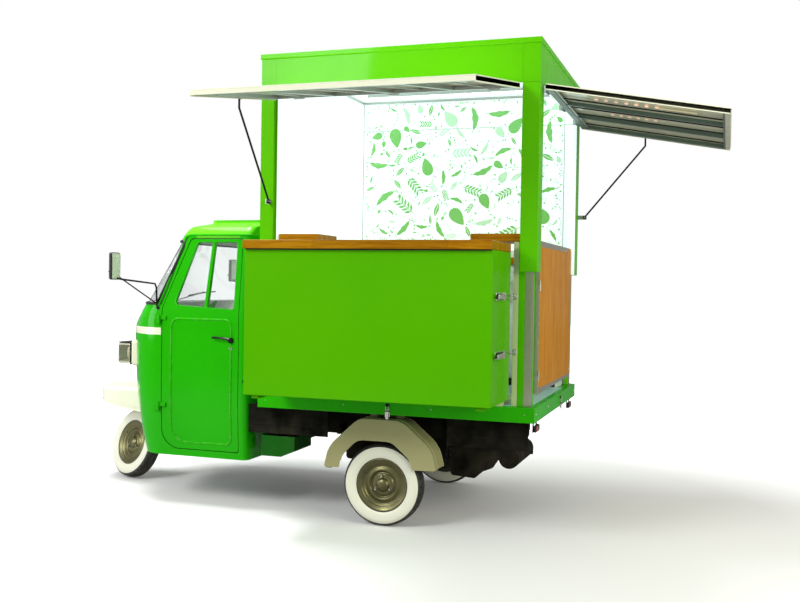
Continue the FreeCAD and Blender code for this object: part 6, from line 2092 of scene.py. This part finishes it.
    def door(self, side: int, body: Body) -> None:
        """One door: pressed skin with a bead, window with a bar, lever handle, hinge knuckles.

        Args:
            side: 1 for the left, -1 for the right.
            body: the body that it rides on.
        """
        form = self.form
        name = "left" if side > 0 else "right"
        door = form.solid(0.0, 0.3, CAB_TOP)
        door.combined([Solid.plate(self.door_corners(self.door_gap), 0.52, 0.7, 10)], Cut.COMMON)
        bar = Solid.plate([(1.184, 1.2, 0), (1.204, 1.2, 0), (1.168, 1.66, 0), (1.149, 1.66, 0)], 0.5, 0.7)
        window = Solid.plate(self.window_corners(0.0), 0.52, 0.7, 6).combined([bar], Cut.AWAY)
        door.combined([form.solid(self.door_thick, 0.2, 1.75), window], Cut.AWAY)
        door.eased(0.0025, 2, 50.0)
        skin = Piece(f"cab_door_pressed_{name}", body, crease=32.0)
        skin.dress(lambda middle: abs(middle.y) < form.side(middle.x, middle.z) - 0.026, CAB_LINING)
        parts: list[tuple[Solid, Finish]] = [(door, CAB_GREEN)]
        bead_rows = [(1.01, 0.39, 0.04), (1.43, 0.39, 0.1), (1.43, 1.16, 0.05), (1.01, 1.16, 0.04)]
        # The bead takes the paler sill green, a painted highlight along its raised line.
        for rows, proud, radius, finish in (
            (bead_rows, -0.0005, 0.0062, SILL_GREEN_AND_BEAD_HIGHLIGHT),
            (self.window_corners(0.0), -0.0035, 0.0048, CAB_GREEN),
        ):
            route = [Vector((place.x, form.side(place.x, place.z) + proud, place.z))
                     for place in filled(outline(rows, 0.0), 0.06)]
            parts.append((Solid.tube(route, radius, 8, True), finish))
        for knuckle in (0.605, 1.15):
            parts.append((Solid.rod((1.511, 0.662, knuckle + 0.001), (1.511, 0.662, knuckle + 0.026), 0.009,
                                    steps=18), CAB_GREEN))
            strap = Solid.block((1.463, 0.646, knuckle + 0.001), (1.511, 0.6605, knuckle + 0.026))
            parts.append((strap.eased(0.003, 2), CAB_GREEN))
        parts += self.handle()
        skin.add_all(parts, lambda solid: solid if side > 0 else solid.mirrored()).finish(f"door_{name}")
        panes = []
        for x0, x1, x2 in ((0.9935, 1.1845, 1.1495), (1.2035, 1.4155, 1.2735)):
            rear_top = 0.9935 if x0 < 1.0 else 1.1675
            rows = [(x0, 1.2205, 0.01), (x1, 1.2205 if x0 < 1.0 else 1.2425, 0.01), (x2, 1.6415, 0.01),
                    (rear_top, 1.6415, 0.01)]
            pane = Solid.plate(rows, 0.0, 0.005, 4)
            panes.append(pane.bent(lambda at: (at.x, at.y + form.side(1.0, at.z) - 0.016, at.z)))
        glass = Piece(f"cab_door_panes_{name}", body)
        glass.add([pane if side > 0 else pane.mirrored() for pane in panes], PANE)
        glass.finish(f"door_glass_{name}", slot="glass")

    def handle(self) -> list[tuple[Solid, Finish]]:
        """Black lever handle on a round boss, with its lock below."""
        out = self.form.side(1.01, 1.03)
        boss = Solid.rod((1.01, out - 0.001, 1.035), (1.01, out + 0.014, 1.035), 0.019, 0.017, 24).eased(0.002)
        lever = Solid.tube([(1.01, out + 0.012, 1.035), (1.012, out + 0.024, 1.043), (1.06, out + 0.026, 1.05),
                            (1.13, out + 0.022, 1.05)], 0.0068, 12)
        lock = Solid.rod((1.01, out - 0.001, 0.985), (1.01, out + 0.005, 0.985), 0.011, 0.0105, 20).eased(0.001)
        slit = Solid.block((1.008, out + 0.004, 0.979), (1.012, out + 0.0056, 0.991))
        return [(boss, BLACK), (lever, BLACK), (lock, STEEL), (slit, BLACK)]

    def rails(self) -> None:
        """Drip rails over the doors, a rubber line down the door posts, the rear straps and the rubber round the
        doorways.
        """
        form = self.form
        rails = Piece("cab_drip_rails")
        run = [(0.908, 1.684), (1.1, 1.684), (1.335, 1.684), (1.362, 1.672), (1.372, 1.65), (1.5, 1.3),
               (1.524, 1.245)]
        route = [Vector((x, form.side(x, z) + 0.001, z)) for x, z in run]
        rails.add(both(Solid.tube(filled(route, 0.05, False), 0.0055)), CAB_GREEN)
        line = [(1.35, 1.668), (1.357, 1.655), (1.487, 1.3), (1.512, 1.245)]
        route = [Vector((x, form.side(x, z) + 0.0005, z)) for x, z in line]
        rails.add(both(Solid.tube(filled(route, 0.05, False), 0.003)), SEAL)
        rails.finish()
        straps = Piece("cab_side_straps")
        strap = Solid.block((0.9, 0.6435, 0.777), (0.93, 0.6515, 0.797)).eased(0.002)
        straps.add(both(strap), BLACK)
        straps.add(both(screw((0.918, 0.651, 0.787), Y_AXIS, 0.005)), STEEL)
        straps.finish()
        seal = Piece("cab_doorway_rubber")
        route = [Vector((place.x, form.side(place.x, place.z) - 0.017, place.z))
                 for place in filled(outline(self.door_corners(-0.001), 0.0), 0.06)]
        seal.add(both(Solid.tube(route, 0.0035, 8, True)), SEAL)
        seal.finish()

    def headlamps(self) -> None:
        """Square lamps in cream pods, each with a black rim and visor, ribbed glass and a silvered bowl behind it."""
        y, z = self.lamp_y, self.lamp_z
        pod = Solid.block((1.72, y - 0.08, z - 0.085), (1.828, y + 0.08, z + 0.085)).eased(0.022, 5)
        pod.combined([self.form.solid(0.001, 0.7, 1.2)], Cut.AWAY)
        Piece("headlamp_pods_finished").add(both(pod), POD_CREAM).finish("headlamp_pods")
        lamp = Piece("headlamp_glasses")
        glass = Solid.block((1.827, y - 0.07, z - 0.072), (1.932, y + 0.07, z + 0.066)).eased(0.016, 5)
        hollow = Solid.block((1.822, y - 0.066, z - 0.068), (1.928, y + 0.066, z + 0.062)).eased(0.014, 5)
        glass.combined([hollow], Cut.AWAY)
        lamp.add(both(glass), LAMP_GLASS)
        for across in spaced(y - 0.052, y + 0.052, 9):
            rib = Solid.rod((1.9255, across, z - 0.056), (1.9255, across, z + 0.05), 0.003, steps=8)
            lamp.add(both(rib), LAMP_GLASS)
        lamp.finish("headlamp_lenses", slot="lens")
        bowl = Piece("headlamp_bowls")
        ring = Solid.block((1.825, y - 0.075, z - 0.078), (1.835, y + 0.075, z + 0.073)).eased(0.004, 2)
        inside = Solid.block((1.81, y - 0.0655, z - 0.068), (1.86, y + 0.0655, z + 0.062))
        bowl.add(both(ring.combined([inside], Cut.AWAY)), BLACK)
        bowl.add(both(Solid.block((1.831, y - 0.071, z + 0.0655), (1.927, y + 0.071, z + 0.0705)).eased(0.002, 2)),
                 BLACK)
        rows = ((0.0, 0.0), (0.004, 0.012), (0.008, 0.026), (0.017, 0.042), (0.03, 0.056), (0.032, 0.058),
                (0.032, 0.06), (0.028, 0.0595), (0.012, 0.044), (0.0, 0.02), (-0.004, 0.0))
        dish = Solid.lathe(rows, False, 40).moved(spun(-90.0, "Z"))
        bowl.add(both(dish.shifted((1.831, y, z - 0.003))), MIRROR)
        bowl.add(both(Solid.ball((1.852, y, z - 0.003), 0.011, steps=14)), LAMP_GLASS)
        bowl.finish()

    def guard(self) -> None:
        """Front mudguard with rolled edges and a bead along its rising lower edge."""
        turn = spun(90.0, "X")

        def tub(inset: float, top: float) -> Solid:
            """Solid form of the guard with its upper edge rounded."""
            side = 0.25 - inset
            rows = [(1.66, -side, 0.0), (2.338 - inset, -side, side - 0.0005), (2.338 - inset, side, side - 0.0005),
                    (1.66, side, 0.0)]
            solid = Solid.plate(rows, 0.3 - inset * 3, top, 20).moved(turn)
            return solid.rounded(solid.rim(2, top, 0, 1.67), 0.034 - inset, 6)

        edge = [(1.66, 0.2, 0), (2.4, 0.2, 0), (2.4, 0.573, 0), (1.85, 0.487, 0), (1.66, 0.487, 0)]
        guard = tub(0.003, 0.659)
        guard.combined([tub(0.006, 0.656), Solid.plate(edge, -0.3, 0.3), self.form.solid(0.001, 0.3, 1.2),
                        self.head_rod(0.0, 0.528, 0.044)], Cut.AWAY)
        piece = Piece("front_mudguard_pressed", crease=36.0)
        piece.add(guard, CREAM)
        for lift, out, radius in ((0.003, -0.0048, 0.0045), (0.028, -0.0045, 0.0035), (0.042, -0.004, 0.0025)):
            points = []
            for i in range(-24, 25):
                turn_by = math.pi / 2 * i / 24
                reach = 0.25 + out
                points.append(Vector((2.088 + reach * math.cos(turn_by), reach * math.sin(turn_by), 0.0)))
            points = [Vector((1.9, -0.25 - out, 0.0))] + points + [Vector((1.9, 0.25 + out, 0.0))]
            route = [Vector((at.x, at.y, self.edge_height(at.x) + lift)) for at in filled(points, 0.04, False)]
            piece.add(Solid.tube(route, radius), CREAM)
        bracket = Solid.block((1.94, -0.02, 0.5), (1.99, 0.02, 0.66)).eased(0.004, 2)
        piece.add(bracket, POST_CREAM)
        piece.finish("front_mudguard")

    def edge_height(self, x: float) -> float:
        """Height of the front mudguard's lower edge."""
        return 0.487 + (0.573 - 0.487) * max(0.0, x - 1.85) / 0.55

    def mirrors(self) -> None:
        """Mirrors on bent black arms."""
        piece = Piece("mirrors_on_arms")
        arm = Solid.tube([(1.505, 0.585, 1.221), (1.532, 0.652, 1.221), (1.532, 0.658, 1.26), (1.533, 0.662, 1.35),
                          (1.54, 0.668, 1.375), (1.735, 0.745, 1.4), (1.753, 0.751, 1.404), (1.762, 0.756, 1.41)],
                         0.0062, 12)
        brace = Solid.tube([(1.533, 0.656, 1.25), (1.745, 0.748, 1.412)], 0.0042, 10)
        foot = Solid.rod((1.512, 0.6, 1.221), (1.53, 0.645, 1.221), 0.016, 0.013, 20).eased(0.002)
        head = Solid.block((1.754, 0.717, 1.396), (1.784, 0.813, 1.567)).eased(0.0135, 5)
        pocket = Solid.block((1.75, 0.7225, 1.4015), (1.7575, 0.8075, 1.5615))
        head.combined([pocket], Cut.AWAY)
        glass = Solid.block((1.756, 0.7235, 1.4025), (1.759, 0.8065, 1.5605)).eased(0.0012, 1)
        knob = Solid.rod((1.783, 0.765, 1.443), (1.812, 0.765, 1.447), 0.011, 0.006, 16).eased(0.002)
        piece.add_all(((arm, BLACK), (brace, BLACK), (foot, BLACK), (head, PLASTIC), (glass, MIRROR),
                       (knob, PLASTIC)), both).finish("mirrors")

    def wipers(self) -> None:
        """Two wipers at rest along the foot of the windscreen."""
        form = self.form
        piece = Piece("cab_wipers")
        for y0, y1 in ((0.3, -0.02), (-0.08, -0.4)):
            route = [Vector((form.front(y, z) + 0.014, y, z))
                     for y, z in ((y0, 1.25), (y0 - 0.01, 1.262), ((y0 + y1) / 2, 1.3), (y1 + 0.1, 1.318))]
            piece.add(Solid.tube(filled(route, 0.05, False), 0.0038), BLACK)
            blade = [Vector((form.front(y, z) + 0.006, y, z))
                     for y, z in ((y0 - 0.08, 1.292), ((y0 + y1) / 2 - 0.02, 1.309), (y1 + 0.005, 1.322))]
            piece.add(Solid.tube(filled(blade, 0.05, False), 0.005), SEAL)
            base = Vector((form.front(y0, 1.25), y0, 1.25))
            piece.add(Solid.rod(base - X_AXIS * 0.004, base + X_AXIS * 0.02, 0.011, 0.009, 18).eased(0.0015), BLACK)
        piece.finish()

    def dashboard(self) -> None:
        """Padded dashboard with a binnacle, a dial and a switch panel."""
        piece = Piece("dashboard_finished")
        piece.add(Solid.from_node("dashboard").eased(0.012, 3), PLASTIC)
        binnacle = Solid.block((1.66, -0.11, 1.12), (1.76, 0.11, 1.22)).eased(0.02, 4)
        piece.add(binnacle, PLASTIC)
        dial = Solid.rod((1.661, 0.0, 1.172), (1.656, 0.0, 1.172), 0.042, 0.042, 32).eased(0.001, 1)
        piece.add(dial, STEEL)
        piece.add(Solid.rod((1.657, 0.0, 1.172), (1.654, 0.0, 1.172), 0.038, 0.038, 32), BLACK)
        for y in spaced(0.17, 0.29, 4):
            piece.add(Solid.block((1.684, y - 0.012, 1.135), (1.694, y + 0.012, 1.16)).eased(0.002), BLACK)
        piece.finish("dashboard")


# ---------------------------------------------------------------- bench seat
@dataclass
class BenchSeat:
    """Bench seat: stuffed cushion and backrest in grained vinyl with sewn channels."""

    cushion: tuple[Place, Place] = ((1.004, -0.504, 0.645), (1.335, 0.504, 0.735))
    backrest: tuple[Place, Place] = ((0.932, -0.504, 0.655), (0.985, 0.504, 1.112))
    cap: float = 0.009
    voxel: float = 0.006

    def build(self) -> None:
        """Make the cushion and the backrest."""
        for name, (low, high), turned in (("seat_cushion", self.cushion, False),
                                          ("seat_backrest", self.backrest, True)):
            pad = Solid.block(low, high).eased(0.018, 3)
            lines = spaced(low[1], high[1], 8)[1:-1]
            pad.sliced(Y_AXIS, lines)
            piece = Piece(name, crease=60.0)
            piece.add(pad, VINYL)
            item = piece.finish("seat", slot="seat_vinyl")
            item.modifiers.clear()
            self.stuff(item)
            self.channels(item, lines, low, high, turned)

    def applied(self, item: bpy.types.Object) -> None:
        """Apply a piece's modifiers to its mesh."""
        graph = bpy.context.evaluated_depsgraph_get()
        mesh = bpy.data.meshes.new_from_object(item.evaluated_get(graph))
        item.modifiers.clear()
        old = item.data
        item.data = mesh
        mesh.name = old.name
        bpy.data.meshes.remove(old)

    def stuff(self, item: bpy.types.Object) -> None:
        """Swell the pad under pressure, with a limit to how far a point may move."""
        step = item.modifiers.new("skin", "REMESH")
        step.mode = "VOXEL"
        step.voxel_size = self.voxel
        self.applied(item)
        rest = [vert.co.copy() for vert in item.data.vertices]
        scene = bpy.context.scene
        cloth = item.modifiers.new("stuffing", "CLOTH")
        cloth.settings.use_pressure = True
        cloth.settings.uniform_pressure_force = 4.0
        cloth.settings.effector_weights.gravity = 0.0
        cloth.point_cache.frame_start = 1
        cloth.point_cache.frame_end = 20
        for at in range(1, 21):
            scene.frame_set(at)
        self.applied(item)
        scene.frame_set(1)
        for vert, start in zip(item.data.vertices, rest):
            run = vert.co - start
            if run.length > self.cap:
                vert.co = start + run.normalized() * self.cap

    def channels(self, item: bpy.types.Object, lines: Sequence[float], low: Place, high: Place,
                 turned: bool) -> None:
        """Sew channels across the pad.

        Args:
            item: the pad.
            lines: places across the truck of the seams.
            low: the pad's low corner.
            high: its high corner.
            turned: whether its sitting face looks forward instead of up.
        """
        axis = 0 if turned else 2
        top = high[axis] + ORIGIN[axis]
        bottom = low[axis] + ORIGIN[axis]
        for vert in item.data.vertices:
            share = max(0.0, min(1.0, (vert.co[axis] - bottom) / (top - bottom)))
            y = vert.co.y - ORIGIN.y
            depth = sum(0.0075 * math.exp(-((y - line) / 0.009) ** 2) for line in lines)
            vert.co[axis] -= depth * share ** 2
        for face in item.data.polygons:
            face.use_smooth = True


# ---------------------------------------------------------------- all together
def main() -> None:
    """Build the whole truck, sub-assembly by sub-assembly."""
    Studio().build()
    for group in CARRIED:
        group.build()
    Wheels().build()
    Underside().build()
    LowerBody().build()
    Shell().build()
    side = Awning("side_awning", Body.SIDE_AWNING, -0.777, 0.68, 0.99, 80.8, False)
    side.build((-0.58, -0.22, 0.14, 0.5), ((-0.4, 0.07, 0.93, LAMP_WHITE), (0.33, 0.07, 0.93, LAMP_WHITE)))
    rear = Awning("rear_awning", Body.REAR_AWNING, -0.695, 0.695, 0.985, 79.8, True, lining=GREY_LINING,
                  edging=SEAL, bars=GREY_LINING, batten=SEAL)
    rear.build((-0.53, -0.31, -0.13, 0.1, 0.365),
               ((0.45, 0.26, 0.6, LAMP_WARM), (0.45, 0.61, 0.82, LAMP_YELLOW), (0.22, 0.22, 0.6, LAMP_WARM),
                (0.22, 0.61, 0.76, LAMP_YELLOW), (-0.02, 0.3, 0.56, LAMP_WARM)))
    Counter().build()
    RearDoor().build()
    Cab().build()
    BenchSeat().build()


if __name__ == "__main__":
    main()
